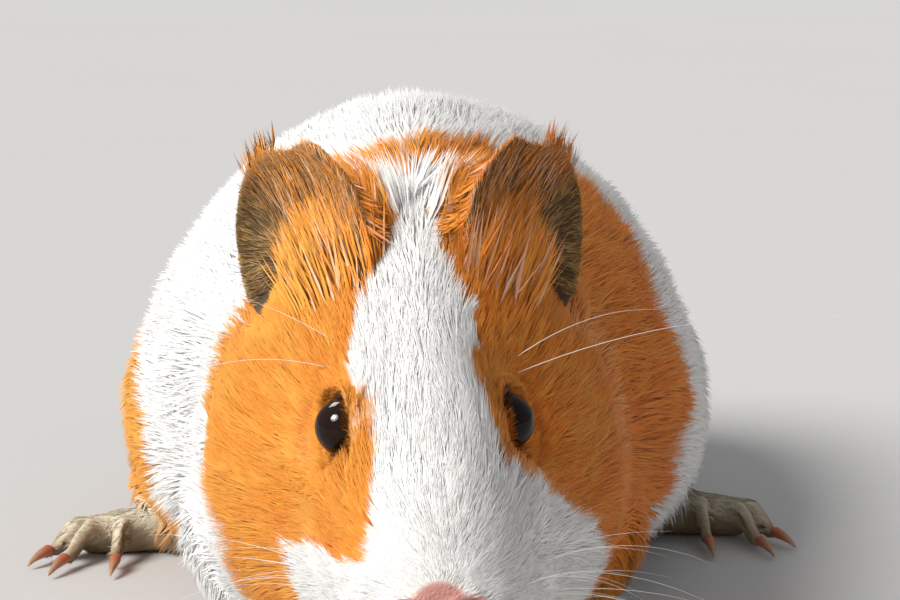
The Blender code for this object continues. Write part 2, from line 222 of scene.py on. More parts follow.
def posed(points, back=False):  # body millimetres of the straight head to the turned one, or back again
    points = np.asarray(points, float)
    pivot = np.array(head["pivot"], float)
    share = smoothStep(-points[:, 1], -head["twistStarts"], -head["twistEnds"])
    turn, roll = math.radians(head["turn"]) * share, math.radians(head["roll"]) * share
    x, y, z = (points - pivot).T
    if back:  # exact ahead of the neck
        x, y = spun(x, y, -turn)
        x, z = spun(x, z, -roll)
    else:
        x, z = spun(x, z, roll)
        x, y = spun(x, y, turn)
    return np.stack([x, y, z], 1) + pivot


def inFrame(points):  # body millimetres of the straight head to frame coordinates in metres
    return posed(points) * mm + np.array([0, noseY, 0])


# markings

markings = {
    # the blaze's half width at each place behind the nose, on the animal's right and left
    "blazeRight": [(0, 13), (5, 9.5), (8, 8.2), (14, 7.5), (23, 8.0), (30, 8.8), (37, 11), (42, 9.2),
                   (46, 6.7), (51, 3.7), (56, 1.8), (62, 1.8), (66, 2.6), (71, 3.6), (75, 0)],
    "blazeLeft": [(0, 16), (12, 12.5), (18, 8.8), (24, 7.0), (31, 7.0), (37, 8.0), (42, 6.4), (46, 4.6),
                  (51, 2.9), (56, 1.7), (62, 1.8), (66, 2.6), (71, 3.6), (75, 0)],
    "blazeDown": 95,  # degrees from the top, as far as the blaze is looked for
    # degrees round the body from the top, minus on the animal's right, and the places behind the nose
    # where ginger starts and ends
    "axisUp": 45,
    "gingerFrom": [(-180, 300), (-150, 70), (-136, 40), (-125, 36), (-118, 39), (-110, 40), (-105, 30),
                   (-100, 18), (-96, 8), (-85, 4), (-60, 2), (0, 0), (43, 15.5), (66, 21), (80, 28),
                   (102, 43), (118, 56), (127, 61), (140, 75), (150, 300)],
    "gingerTo": [(-180, 0), (-150, 50), (-126, 60), (-107, 61), (-95, 68), (-88, 76), (-84, 88), (-63, 89),
                 (-50, 85), (-30, 82), (-18, 88), (-10, 94), (1, 98), (10, 104), (20, 115), (30, 129),
                 (38, 140), (45, 146), (53, 146), (61, 141), (70, 134), (78, 130), (94, 131), (101, 125),
                 (110, 118), (121, 116), (132, 108), (145, 60), (180, 0)],
    # the hip patch on the animal's right: its upper and lower edge in degrees
    "hipUpper": [(118, -120), (127, -102), (138, -92), (147, -85), (160, -76), (180, -66), (200, -62),
                 (215, -72), (226, -105)],
    "hipLower": -129,
    "edgeWander": 1.6,
}


def gingerMask(places):  # 1 where the coat is ginger and 0 where it is white
    points = toBody(places)
    out, behind, up = posed(points, back=True).T
    wander = markings["edgeWander"]
    behind = behind + wander * ripple(points, 16, 3) + 0.5 * wander * ripple(points, 6, 4)
    out = out + 0.3 * wander * ripple(points, 12, 5) + 0.2 * wander * ripple(points, 5, 6)
    angle = np.degrees(np.arctan2(out, up - markings["axisUp"]))
    blaze = np.where(out < 0, lineAt(markings["blazeRight"], behind), lineAt(markings["blazeLeft"], behind))
    ginger = smoothStep(behind - lineAt(markings["gingerFrom"], angle), -1, 1)
    ginger = ginger * smoothStep(lineAt(markings["gingerTo"], angle) - behind, -1.5, 1.5)
    onTop = np.abs(angle) < markings["blazeDown"]
    ginger = ginger * np.where(onTop, smoothStep(np.abs(out) - blaze, -0.5, 0.5), 1)
    hip = smoothStep(angle - markings["hipLower"], -1.5, 1.5)
    hip = hip * smoothStep(lineAt(markings["hipUpper"], behind) - angle, -1.5, 1.5)
    hip = hip * (behind > markings["hipUpper"][0][0]) * (behind < markings["hipUpper"][-1][0])
    return np.maximum(ginger, hip)


# the skin

skinSizes = {
    "closing": 0.35,  # each piece grows by this, so that the thin gaps between the pieces close
    "voxel": 1.2,
    "smoothing": 5, "pawSmoothing": 1,
    # faces are finer within these reaches of the nose and an eye, and in the low parts of the feet
    "fineNose": 13, "fineEye": 8.5,
    "footUp": 13, "footOut": 54, "pawUp": 10, "pawBehind": 80,
    # how deep the coat lies over each part; the skin is drawn in by as much
    "depth": {"nose": 0.2, "head": 2.6, "lower_jaw": 2.2, "neck": 4.6, "trunk": 5.4, "rump": 5.4,
              "thigh": 4.6, "foreleg": 2.2, "forepaw": 0.35, "hind_foot": 0.35},
    "headDepth": [(0, 0.5), (6, 1.0), (18, 1.8), (40, 2.4), (66, 3.4)],  # it grows behind the nose
    "eyeFacing": (9.9, -2.5, 1.9),  # the way the left eye looks
    "eyeRim": 5.5,  # from an eye's middle to its edge
    "eyeDepth": 0.6, "eyeReach": 9,
    "eyeRise": 0.3, "riseFade": (6, 15),  # the coat stands this much as high at an eye, and fades to full
    "eyeHollow": 1.8, "hollowAt": 8.3, "hollowWidth": 2.6,  # a furrow round the lids
    # a groove runs forward from each eye's inner corner: its start from the eye's middle, its way and size
    "tearFrom": (1.0, -1.0, -2.8), "tearWay": (-0.06, -0.97, 0.24), "tearDepth": 3.0, "tearWidth": 3.2,
    "tearLength": 20, "tearFull": 0.45, "tearFade": (-3, 2),  # it fades in here and out past this share
}
feet = ["forepaw", "hind_foot"]


def partOf(node):  # head, foreleg and so on, without its side
    return node.replace("_left", "").replace("_right", "")


def pawOf(claw):  # the foot that a claw's node belongs to
    which, side = claw.split("_")[1:3]
    return ("hind_foot_" if which == "hind" else "forepaw_") + side


def middleOf(node):
    return sum(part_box(node), Vector()) / 2


fleshNodes = [n for n in sorted(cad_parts) if partOf(n) in skinSizes["depth"]]

# copies of the solids of flesh, each grown a little, in one mesh that remembers its parts
solid = bmesh.new()
label = solid.faces.layers.int.new("part")
for number, node in enumerate(fleshNodes):
    one = mergedCopy(node)
    one.normal_update()
    for vertex in one.verts:
        vertex.co += vertex.normal * skinSizes["closing"] * mm
    copied = bpy.data.meshes.new(node)
    one.to_mesh(copied)
    one.free()
    before = len(solid.faces)
    solid.from_mesh(copied)
    solid.faces.ensure_lookup_table()
    for face in solid.faces[before:]:
        face[label] = number
    bpy.data.meshes.remove(copied)
solidTree = BVHTree.FromBMesh(solid)
solidLabels = [face[label] for face in solid.faces]
skin = voxelRemeshed(finished("skin", solid), skinSizes["voxel"])

eyes = {}
for side, sign in (("left", 1), ("right", -1)):
    low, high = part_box("eye_" + side)
    facing = Vector(skinSizes["eyeFacing"])
    facing.x *= sign
    facing = Matrix.Rotation(math.radians(head["turn"]), 3, "Z") @ facing
    eyes[side] = {"centre": (low + high) / 2, "radius": (high - low).z / 2, "facing": facing.normalized(),
                  "sign": sign}

# finer faces round the nose, the mouth and the eyes
nosePlace = Vector(inFrame([(0, 2, 37)])[0])


def nearDetail(edge):
    point = (edge.verts[0].co + edge.verts[1].co) / 2
    onFoot = point.z < skinSizes["footUp"] * mm and abs(point.x) > skinSizes["footOut"] * mm
    onPaw = point.z < skinSizes["pawUp"] * mm and point.y < noseY + skinSizes["pawBehind"] * mm
    return (onFoot or onPaw or (point - nosePlace).length < skinSizes["fineNose"] * mm
            or any((point - eye["centre"]).length < skinSizes["fineEye"] * mm for eye in eyes.values()))


fine = bmesh.new()
fine.from_mesh(skin.data)
bmesh.ops.subdivide_edges(fine, edges=[e for e in fine.edges if nearDetail(e)], cuts=1, use_grid_fill=True)
bmesh.ops.triangulate(fine, faces=[f for f in fine.faces if len(f.verts) > 4])
fine.to_mesh(skin.data)
fine.free()

places, normals, _, _ = meshArrays(skin.data)
pairs = edgeArray(skin.data)
parts = [partOf(n) for n in fleshNodes]
labels = np.array([solidLabels[solidTree.find_nearest(Vector(p))[2]] for p in places])
partNames = np.array(parts)[labels]
onPaw = soften(np.isin(partNames, feet) * 1.0, pairs, 3)[:, None]
places = (soften(places, pairs, skinSizes["smoothing"]) * (1 - onPaw)
          + soften(places, pairs, skinSizes["pawSmoothing"]) * onPaw)
setPlaces(skin.data, places)
places, normals, _, _ = meshArrays(skin.data)
print("skin remeshed:", len(places), "vertices")
body = toBody(places)
straight = posed(body, back=True)

depth = np.array([skinSizes["depth"][p] for p in parts])[labels]
onHead = np.isin(partNames, ["head", "lower_jaw"])
depth = np.where(onHead, np.minimum(depth, lineAt(skinSizes["headDepth"], straight[:, 1])), depth)
depth = soften(depth, pairs, 25)
rise = None  # how high the coat stands over the skin
for eye in eyes.values():
    fromEye = (places - np.array(eye["centre"])) / mm
    away = lengthOf(fromEye)
    mirror = np.array([eye["sign"], 1, 1])
    tearWay = np.array(skinSizes["tearWay"]) * mirror
    fromTear = fromEye - np.array(skinSizes["tearFrom"]) * mirror
    alongTear = fromTear @ tearWay
    aside = lengthOf(fromTear - alongTear[:, None] * tearWay)
    share = smoothStep(away, skinSizes["eyeRim"], skinSizes["eyeRim"] + skinSizes["eyeReach"])
    depth = depth * share + skinSizes["eyeDepth"] * (1 - share)
    rise = depth if rise is None else rise
    rise = rise * atLeast(skinSizes["eyeRise"], smoothStep(away, *skinSizes["riseFade"]))
    depth = depth + skinSizes["eyeHollow"] * hump(away - skinSizes["hollowAt"], skinSizes["hollowWidth"])
    tearEnd = skinSizes["tearLength"]
    tearShare = smoothStep(alongTear, *skinSizes["tearFade"])
    tearShare = tearShare * smoothStep(-alongTear, -tearEnd, -skinSizes["tearFull"] * tearEnd)
    depth = depth + skinSizes["tearDepth"] * tearShare * hump(aside, skinSizes["tearWidth"])

bareFoot = soften(np.isin(partNames, feet) * 1.0, pairs, 6)

# folds of the face, in the straight head's millimetres
faceSizes = {
    "nostril": [(1.9, 36.5), (2.3, 38.2), (3.5, 39.5), (5.0, 39.6)],  # out and up along each comma
    "nostrilWidth": 0.62, "nostrilDepth": 2.3,
    "wing": 0.55, "wingAt": 1.5, "wingWidth": 0.8,  # the edge that swells round each nostril
    "bareReach": 1.9,  # how far the bare skin goes round each nostril
    "bridge": (4.4, 39.9, 3.8),  # half width, height and half height of the bare skin between them
    "cleft": [(0, 38.6), (0, 30.5)], "cleftWidth": 0.55, "cleftDepth": 1.3,
    "mouth": [(0, 29.5), (8, 28.2), (15, 27.8), (21, 29.5)],  # behind and up along the closed lips
    "mouthWidth": 0.8, "mouthDepth": 1.5,
    "frontEnds": 14, "lipsEnd": 24, "darkEnds": 16,  # behind the nose; darkEnds is where the painted shade along the mouth ends
}


def awayFromLine(across, up, line):  # distance in the plane from a line of points
    nearest = np.full(len(across), 1e9)
    spots = np.stack([across, up], 1)
    for start, end in zip(line, line[1:]):
        start, end = np.array(start, float), np.array(end, float)
        step = end - start
        share = np.clip((spots - start) @ step / (step @ step), 0, 1)
        nearest = np.minimum(nearest, lengthOf(spots - start - share[:, None] * step))
    return nearest


out, behind, up = straight.T
facingFront = smoothStep(-normals[:, 1], 0.1, 0.5) * (behind < faceSizes["frontEnds"])
toNostril = awayFromLine(np.abs(out), up, faceSizes["nostril"])
toCleft = awayFromLine(out, up, faceSizes["cleft"])
toMouth = awayFromLine(behind, up, faceSizes["mouth"])
nostril = hump(toNostril, faceSizes["nostrilWidth"]) * facingFront
wing = hump(toNostril - faceSizes["wingAt"], faceSizes["wingWidth"]) * facingFront
cleft = hump(toCleft, faceSizes["cleftWidth"]) * facingFront
mouth = hump(toMouth, faceSizes["mouthWidth"]) * (behind < faceSizes["lipsEnd"])

# the toes stand out as ridges, each in line with its claw
toes = {
    "length": 13, "ahead": 4, "full": 0.35,  # behind and ahead of a toe's root, and where the ridge is full
    "half": 1.3, "gap": 2.9,  # from a toe's middle line to its edge, and to the bottom of the gap
    "depth": 2.6,
    "reach": 9,  # how far aside of the toes the paw counts
    "foreSize": 0.7,  # of the hind toes' sizes
}
between = np.zeros(len(body))
for paw in ("hind_foot_left", "hind_foot_right", "forepaw_left", "forepaw_right"):
    size = 1.0 if "hind" in paw else toes["foreSize"]
    ankle = toBody([middleOf(paw)])[0]
    alongs, asides = [], []
    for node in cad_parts:
        if node.startswith("claw_") and pawOf(node) == paw:
            claw = toBody([v.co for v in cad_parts[node].data.vertices])
            far = lengthOf(claw[:, :2] - ankle[:2])
            tip, foot = claw[far.argmax()], claw[far < np.quantile(far, 0.2)].mean(0)
            way = (foot - tip)[:2] / np.linalg.norm((foot - tip)[:2])
            alongs.append((body[:, :2] - foot[:2]) @ way)
            asides.append(np.abs((body[:, 0] - foot[0]) * way[1] - (body[:, 1] - foot[1]) * way[0]))
    along, aside = np.array(alongs), np.array(asides)
    here = along[aside.argmin(0), np.arange(len(body))] / size
    aside = aside.min(0)
    gap = smoothStep(aside / size, toes["half"], toes["gap"])
    gap = gap * smoothStep(-here, -toes["length"], -toes["length"] * toes["full"]) * (here > -toes["ahead"])
    gap = gap * (aside < toes["reach"] * size)
    mine = (partNames == partOf(paw)) & (np.sign(body[:, 0]) == (1 if "left" in paw else -1))
    between = np.where(mine, gap * size, between)
between = soften(between, pairs, 2)
inward = (depth + between * toes["depth"] + skinSizes["closing"] + nostril * faceSizes["nostrilDepth"]
          - wing * faceSizes["wing"] + cleft * faceSizes["cleftDepth"] + mouth * faceSizes["mouthDepth"])
places = places - normals * inward[:, None] * mm
places = soften(places, pairs, 1, 0.3)
places[:, 2] = np.maximum(places[:, 2], 0.1 * mm)
setPlaces(skin.data, places)
# painted shade: the nostrils, the front of the mouth's line and the cleft are coloured dark
hollow = np.clip(nostril + 0.7 * mouth * (behind < faceSizes["darkEnds"]) + 0.5 * cleft, 0, 1)
bareNose = np.maximum(smoothStep(-toNostril, -faceSizes["bareReach"] - 0.7, -faceSizes["bareReach"] + 0.5),
                      smoothStep(-toCleft, -1.5, -0.6)) * facingFront
bridgeOut, bridgeUp, bridgeTall = faceSizes["bridge"]
bridge = np.hypot(out / bridgeOut, (up - bridgeUp) / bridgeTall)
bareNose = np.maximum(bareNose, smoothStep(-bridge, -1.15, -0.8) * facingFront)
print("skin drawn in under the coat")

# ears

ear = {
    "root": (16.8, 68, 79), "spread": (1.0, 1.05, 0), "rise": (0, 0.1, 1.0), "facing": (0, -1.0, 0),
    "dish": 6.0, "curl": 2.5, "thickness": 1.1, "rings": 9, "spokes": 60,
    # degrees round the root, from outward over upward, and how far off the rim is as seen from the front
    "rim": [(-160, 7), (-110, 11.5), (-75, 14.5), (-58, 14.3), (-42, 14), (-27, 12.9), (-2, 12.6),
            (15, 13.3), (31, 14.7), (51, 17.4), (62, 18.9), (70, 19.2), (80, 18.5), (90, 20.6), (105, 17.4),
            (120, 14.6), (140, 11), (200, 7)],
    "ridge": 1.5, "ridgeAt": 78, "ridgeWidth": 15,  # the fold that runs up the inside: height, degrees
    "rimInset": 0.5,  # the skin's rim ends this far short of the solid's
    "furFrom": 50, "furFade": 12,  # degrees round the root past which the hollow side is furred
    # the way the left ear's hollow side faces, and the way its hair leans up
    "hollowWay": (0.72, -0.69, 0.07), "hairWay": (0.35, -0.1, 1),
}


def earPoints(share, degrees):  # a spot of the ear's sheet, in the straight head's millimetres
    degrees = np.where(degrees > 200, degrees - 360, degrees)
    angle = np.radians(degrees)
    reach = share * (lineAt(ear["rim"], degrees) - ear["rimInset"])
    root, spread, rise, facing = (np.array(ear[k], float) for k in ("root", "spread", "rise", "facing"))
    forward = ear["dish"] * share**2 + ear["curl"] * share**4 * np.abs(np.sin(angle))
    forward += (ear["ridge"] * hump(degrees - ear["ridgeAt"], ear["ridgeWidth"])
                * np.sin(math.pi * np.clip(share, 0, 1)) ** 2)
    forward += 0.35 * np.sin(np.radians(degrees) * 9) * share**3 * (1 - share) * 4
    return (root + spread * (reach * np.cos(angle))[:, None] + rise * (reach * np.sin(angle))[:, None]
            + facing * forward[:, None])


def makeEar(side):
    made = bmesh.new()
    circles = []
    degrees = np.arange(ear["spokes"]) * 360.0 / ear["spokes"]
    for ring in range(1, ear["rings"] + 1):
        circles.append(bmesh.ops.create_circle(made, segments=ear["spokes"], radius=0.01)["verts"])
        spots = earPoints(np.full(len(degrees), ring / ear["rings"]), degrees)
        for vertex, spot in zip(circles[-1], spots):
            vertex.co = spot
    for inner, outer in zip(circles, circles[1:]):
        bridgeRings(made, inner, outer)
    bmesh.ops.contextual_create(made, geom=circles[0])
    spots = np.array([v.co for v in made.verts])
    spots[:, 0] *= 1 if side == "left" else -1
    for vertex, spot in zip(made.verts, posed(spots)):
        vertex.co = Vector(spot) * mm + Vector((0, noseY, 0))
    bmesh.ops.recalc_face_normals(made, faces=made.faces)
    made.normal_update()
    if sum(face.normal.y * face.calc_area() for face in made.faces) > 0:  # its front is the hollow side
        bmesh.ops.reverse_faces(made, faces=made.faces)
    piece = finished("ear", made)
    wall = piece.modifiers.new("wall", "SOLIDIFY")
    wall.thickness = ear["thickness"] * mm
    wall.offset = 0
    rounding = piece.modifiers.new("rounding", "SUBSURF")
    rounding.levels = rounding.render_levels = 1
    return applied(piece)


# eyelids

lid = {
    "angle": 79,  # degrees from the middle of the eye to the middle of the lid's rim
    "reach": 1.04,  # of the eye's radius
    "upper": 0.55, "lower": 0.42,  # half thickness
    "cornerBack": 0.35,
    "steps": 72, "sides": 12,
}


def turnedTo(eye):  # from the origin, facing +Z, to the eye's place and way
    z = eye["facing"]
    y = (Vector((0, 0, 1)) - z * z.z).normalized()
    turned = Matrix((y.cross(z), y, z)).transposed().to_4x4()
    turned.translation = eye["centre"]
    return turned


def makeLid(eye):
    made = bmesh.new()
    radius = eye["radius"] * lid["reach"]
    angle = math.radians(lid["angle"])
    rimOut, rimUp = radius * math.sin(angle), radius * math.cos(angle)
    profile = bmesh.ops.create_circle(made, segments=lid["sides"], radius=mm)["verts"]
    for vertex in profile:  # a round profile in the XZ plane, off to one side of the axis Z
        vertex.co = Vector((vertex.co.x + rimOut, 0, vertex.co.y + rimUp))
    bmesh.ops.spin(made, geom=made.verts[:] + made.edges[:], axis=(0, 0, 1), cent=(0, 0, 0),
                   angle=2 * math.pi, steps=lid["steps"], use_merge=True)
    bmesh.ops.remove_doubles(made, verts=made.verts, dist=1e-6)
    for vertex in made.verts:  # thicker above than below, and drawn back at the two corners
        turn = math.atan2(vertex.co.y, vertex.co.x)
        middle = Vector((rimOut * math.cos(turn), rimOut * math.sin(turn), rimUp))
        above = 0.5 + 0.5 * math.sin(turn)
        thick = lid["lower"] + (lid["upper"] - lid["lower"]) * above
        vertex.co = middle + (vertex.co - middle) * thick
        vertex.co.z -= lid["cornerBack"] * mm * math.cos(turn) ** 4
    bmesh.ops.transform(made, matrix=turnedTo(eye), verts=made.verts)
    bmesh.ops.recalc_face_normals(made, faces=made.faces)
    return finished("lid", made)


# the flesh, the ears and the lids become one skin
fleshTree = BVHTree.FromObject(skin, bpy.context.evaluated_depsgraph_get())
extra = [makeEar("right"), makeEar("left"), makeLid(eyes["right"]), makeLid(eyes["left"])]
earCount = len(extra[0].data.vertices) + len(extra[1].data.vertices)
fleshCount = len(places)
whole = bmesh.new()
whole.from_mesh(skin.data)
for piece in extra:
    whole.from_mesh(piece.data)
    bpy.data.objects.remove(piece)
whole.to_mesh(skin.data)
whole.free()
places, normals, triangles, corners = meshArrays(skin.data)
pairs = edgeArray(skin.data)
afterFlesh = np.arange(len(places)) - fleshCount
flesh, isLid = afterFlesh < 0, afterFlesh >= earCount
isEar = ~(flesh | isLid)


def extended(values):  # a value of the flesh, with nothing on ears and lids
    return np.concatenate([values, np.zeros(len(places) - fleshCount)])


rise, bareNose, bareFoot, hollow = (extended(v) for v in (rise, bareNose, bareFoot, hollow))
partNames = np.concatenate([partNames, np.where(isEar[fleshCount:], "ear", "lid")])
body = toBody(places)
straight = posed(body, back=True)
sideFlip = waysOf(np.sign(body[:, 0]), 1, 1)  # turns ways that are given for the left side
mirrored = straight * sideFlip  # the right half laid on the left one
ginger = np.where(isEar, 1.0, gingerMask(places))
print("skin joined:", len(triangles), "triangles")

# how the coat lies

lieOfCoat = {
    "source": (0, -3, 40),  # hair runs away from the nose
    "bodyWay": (0, 1.0, -0.22),
    "foot": (1, -0.6, -0.3),  # on the left side
    "limbs": {"foreleg": (0, -0.1, -1), "forepaw": (0, -1, -0.25), "thigh": (0, 0.75, -0.65)},
    "headEnds": 62, "bodyStarts": 100,
    "whorl": (0, 70, 90), "whorlReach": 20, "fan": (1.6, 1.0, 1.0),
    "whorlStrength": 1.8, "whorlStarts": 9, "whorlFull": 2,  # millimetres ahead of the whorl's middle
    "eyeReach": 7.0, "eyeStrength": 0.45,
}

source = posed([lieOfCoat["source"]])[0]
bodyWay = unit(np.array([lieOfCoat["bodyWay"]], float))
backShare = smoothStep(body[:, 1], lieOfCoat["headEnds"], lieOfCoat["bodyStarts"])[:, None]
lie = unit(body - source) * (1 - backShare) + bodyWay * backShare
for name, way in lieOfCoat["limbs"].items():
    lie[partNames == name] = unit(np.array([way], float))[0]
onFoot = partNames == "hind_foot"
lie[onFoot] = unit(sideFlip * lieOfCoat["foot"])[onFoot]
whorl = posed([lieOfCoat["whorl"]])[0]
fromWhorl = body - whorl
closeness = hump(lengthOf(fromWhorl), lieOfCoat["whorlReach"])[:, None]
fan = unit(fromWhorl * lieOfCoat["fan"])
inFan = smoothStep(body[:, 1:2], whorl[1] - lieOfCoat["whorlStarts"], whorl[1] - lieOfCoat["whorlFull"])
lie = lie + lieOfCoat["whorlStrength"] * fan * closeness * inFan
for eye in eyes.values():
    away = places - np.array(eye["centre"])
    far = np.maximum(lengthOf(away) / mm - skinSizes["eyeRim"], 0)
    share = hump(far, lieOfCoat["eyeReach"])[:, None]
    outward = alongSurface(unit(away), normals)
    towards = np.minimum(dots(lie, outward), 0)
    lie = lie - outward * towards * share + outward * lieOfCoat["eyeStrength"] * share
lie = alongSurface(lie, normals)
lie[:fleshCount] = alongSurface(soften(lie, pairs, 12)[:fleshCount], normals[:fleshCount])

# the ears: bare and thinly haired on the outer half of the hollow side, furred on the inner half and behind
fromRoot = mirrored - np.array(ear["root"])
earTurn = np.degrees(np.arctan2(fromRoot[:, 2], fromRoot[:, 0]))
earShare = np.hypot(fromRoot[:, 2], fromRoot[:, 0]) / lineAt(ear["rim"], earTurn)
hollowSide = isEar & (dots(normals, sideFlip * ear["hollowWay"])[:, 0] > 0)
innerHalf = smoothStep(earTurn, ear["furFrom"] - ear["furFade"], ear["furFrom"] + ear["furFade"])
earFur = np.where(hollowSide, innerHalf, 1) * isEar
outwards = sideFlip * waysOf(np.cos(np.radians(earTurn)), 0, np.sin(np.radians(earTurn)))
earLie = outwards * (1 - 0.8 * earFur[:, None]) + sideFlip * ear["hairWay"] * atLeast(0.1, earFur[:, None])
lie[isEar] = alongSurface(unit(earLie), normals)[isEar]

# an unwrap of the skin, for the places of the tufts

bpy.context.view_layer.objects.active = skin
skin.select_set(True)
bpy.ops.object.mode_set(mode="EDIT")
bpy.ops.mesh.select_all(action="SELECT")
bpy.ops.uv.smart_project(angle_limit=math.radians(66), island_margin=0.001)
bpy.ops.object.mode_set(mode="OBJECT")
skin.select_set(False)
skinPlan = readRows(skin.data.uv_layers[0].data, "uv", 2)
while skin.data.uv_layers:
    skin.data.uv_layers.remove(skin.data.uv_layers[0])
places, normals, triangles, corners = meshArrays(skin.data)
print("skin unwrapped")

# the coat

coat = {
    # length and width of a tuft, and how many times over the tufts cover the skin
    "parts": {"nose": (2.2, 0.13, 4), "head": (9, 0.2, 5), "lower_jaw": (7, 0.22, 4), "neck": (14, 0.25, 6),
              "trunk": (17, 0.29, 6), "rump": (17, 0.31, 6), "thigh": (14, 0.3, 5.5),
              "foreleg": (8, 0.24, 5), "forepaw": (1.7, 0.13, 1.6), "hind_foot": (2.0, 0.14, 1.6),
              "ear": (3, 0.12, 1), "lid": (0, 0, 0)},
    "headLength": [(0, 2.0), (4, 3.8), (10, 7.5), (20, 9.8), (45, 10.5), (62, 12.5), (75, 14)],
    "headWidth": [(0, 0.12), (8, 0.13), (25, 0.14), (45, 0.145), (62, 0.15), (75, 0.2)],
    "headCover": [(0, 5), (10, 6), (75, 6)],
    "eyeClear": 0.75,  # bare skin round an eye
    # from here to here round an eye the coat grows to its full length and width, from these shares of them
    "eyeFade": (1.5, 15), "eyeLength": 0.22, "eyeWidth": 0.6,
    "belly": 0.5, "bellyFacing": -0.75,  # share of the cover under the body, where nobody looks
    "lengthSpread": (0.7, 1.2), "widthSpread": (0.75, 1.25), "standSpread": (0.7, 1.15),
    "ringAt": 0.4,  # where along a tuft it is widest
    "thickness": 0.3, "thickest": 0.9,  # of its width
    "bodyShade": 0.75,  # how far the tufts shade as the skin below them does
    "stray": 0.07,  # how far single tufts turn out of the lie, in radians
    "sway": 0.13, "swaySize": 22,  # how far whole locks turn, and over how many millimetres
    "lockShare": 0.02, "lockPull": 0.4, "lockHeight": (0.85, 1.12),
    "rounding": 0.45,  # how far a tuft's two sides shade away from each other
    "colourAt": 0.5,  # the place along a tuft where it takes its marking
    "paleFrom": 0.63,  # where along a tuft its painted root shade ends
    "patch": 0.003,
    "most": 49500, "leastArea": 0.02,  # tufts in one piece, and the square millimetres that one counts for
    "floorGap": 0.2,
    "sunk": 0.15,  # how deep the roots stand in the skin
    "hugReach": 0.55,  # of the way from the root
}

lengths, widths, covers = (np.array([coat["parts"][p][k] for p in partNames], float) for k in range(3))
onHead = np.isin(partNames, ["head", "lower_jaw"])
lengths = np.where(onHead, lineAt(coat["headLength"], straight[:, 1]), lengths)
widths = np.where(onHead, lineAt(coat["headWidth"], straight[:, 1]), widths)
covers = np.where(partNames == "head", lineAt(coat["headCover"], straight[:, 1]), covers)
lengths, widths, covers = (np.where(flesh, soften(v, pairs, 10), v) for v in (lengths, widths, covers))
for eye in eyes.values():
    far = lengthOf(places - np.array(eye["centre"])) / mm - eye["radius"] / mm
    share = np.where(isEar, 1, smoothStep(far, *coat["eyeFade"]))
    lengths = lengths * atLeast(coat["eyeLength"], share)
    widths = widths * atLeast(coat["eyeWidth"], share)
    covers = np.where(far < coat["eyeClear"], 0, covers)
covers = covers * (1 - bareNose)
covers = np.where(normals[:, 2] < coat["bellyFacing"], covers * coat["belly"], covers)

earCoat = {  # on the outer half of the hollow side, on its inner half, and behind
    "length": (2.6, 6.5, 3.0), "width": (0.08, 0.09, 0.14), "cover": (0.75, 0.6, 2.6),
    "rise": (0.5, 1.5, 0.8),
    "rimShorter": 0.72,
    "bareShare": 0.25,  # no tufts this near the root, as a share of the way to the rim
    "middle": 80, "turn": 118,  # degrees round the root, and how far to each side of them tufts grow
    "olive": 0.3,  # share of dusky tufts among the ginger ones
    "bright": 0.35,  # share of pale ginger ones: random tone, in part painted light that lifts the shaded hollow
}


def earMixed(key):
    outer, inner, behind_ = earCoat[key]
    return np.where(hollowSide, outer + (inner - outer) * innerHalf, behind_)


rimShare = smoothStep(earShare, 0.7, 1.0)
earHere = (earShare > earCoat["bareShare"]) & (np.abs(earTurn - earCoat["middle"]) < earCoat["turn"])
lengths = np.where(isEar, earMixed("length") * (1 - earCoat["rimShorter"] * rimShare), lengths)
widths = np.where(isEar, earMixed("width"), widths)
covers = np.where(isEar, earMixed("cover") * earHere, covers)
rise = np.where(isEar, earMixed("rise"), rise)

crownCoat = {
    # out, behind, up and share of the places where the coat stands up
    "upright": [(3.5, 65, 86, 0.45), (6, 64, 86, 0.7), (9, 62, 85, 0.8), (12, 60, 83, 0.8),
                (15, 58, 80, 0.6), (18, 57, 77, 0.3), (6, 57, 85, 0.5), (9, 55, 82, 0.65),
                (12, 53, 79, 0.6), (8, 51, 80, 0.45), (11, 49, 76, 0.4)],
    "reach": 3.6,
    "way": (0.42, 0.22, 0.9),
    "whorlBare": 8, "whorlLeast": 0.4,  # this near the whorl the hair is shorter, down to this share
    # out, behind and up of the places before the ears' lower lobes, where the coat is short
    "low": [(22, 57, 68), (25, 60, 67), (27, 64, 66), (23, 62, 72), (25, 65, 71)],
    "lowReach": 5.5,
    "lowest": 0.38, "flatter": 0.5,  # share of the length that is left there, and how much less it stands
    "longer": 0.25,  # how much longer the hair is where it stands up
}
stand, lowCoat = np.zeros(len(body)), np.zeros(len(body))
for *spot, share in crownCoat["upright"]:
    stand = np.maximum(stand, share * hump(lengthOf(mirrored - spot), crownCoat["reach"]))
for spot in crownCoat["low"]:
    lowCoat = np.maximum(lowCoat, np.exp(-(lengthOf(mirrored - spot) / crownCoat["lowReach"]) ** 4))
stand = np.where(flesh, stand * (1 - lowCoat), 0)
standWays = sideFlip * crownCoat["way"]
nearWhorl = atLeast(crownCoat["whorlLeast"], smoothStep(lengthOf(fromWhorl), 1, crownCoat["whorlBare"]))
lengths = lengths * np.where(flesh, 1 - lowCoat * (1 - crownCoat["lowest"]), 1)
lengths = lengths * (1 + crownCoat["longer"] * stand) * np.where(flesh, nearWhorl, 1)
rise = rise * np.where(flesh, 1 - lowCoat * crownCoat["flatter"], 1)
first, second, third = (places[triangles[:, k]] for k in range(3))
triangleAreas = lengthOf(np.cross(second - first, third - first)) / 2 / mm**2


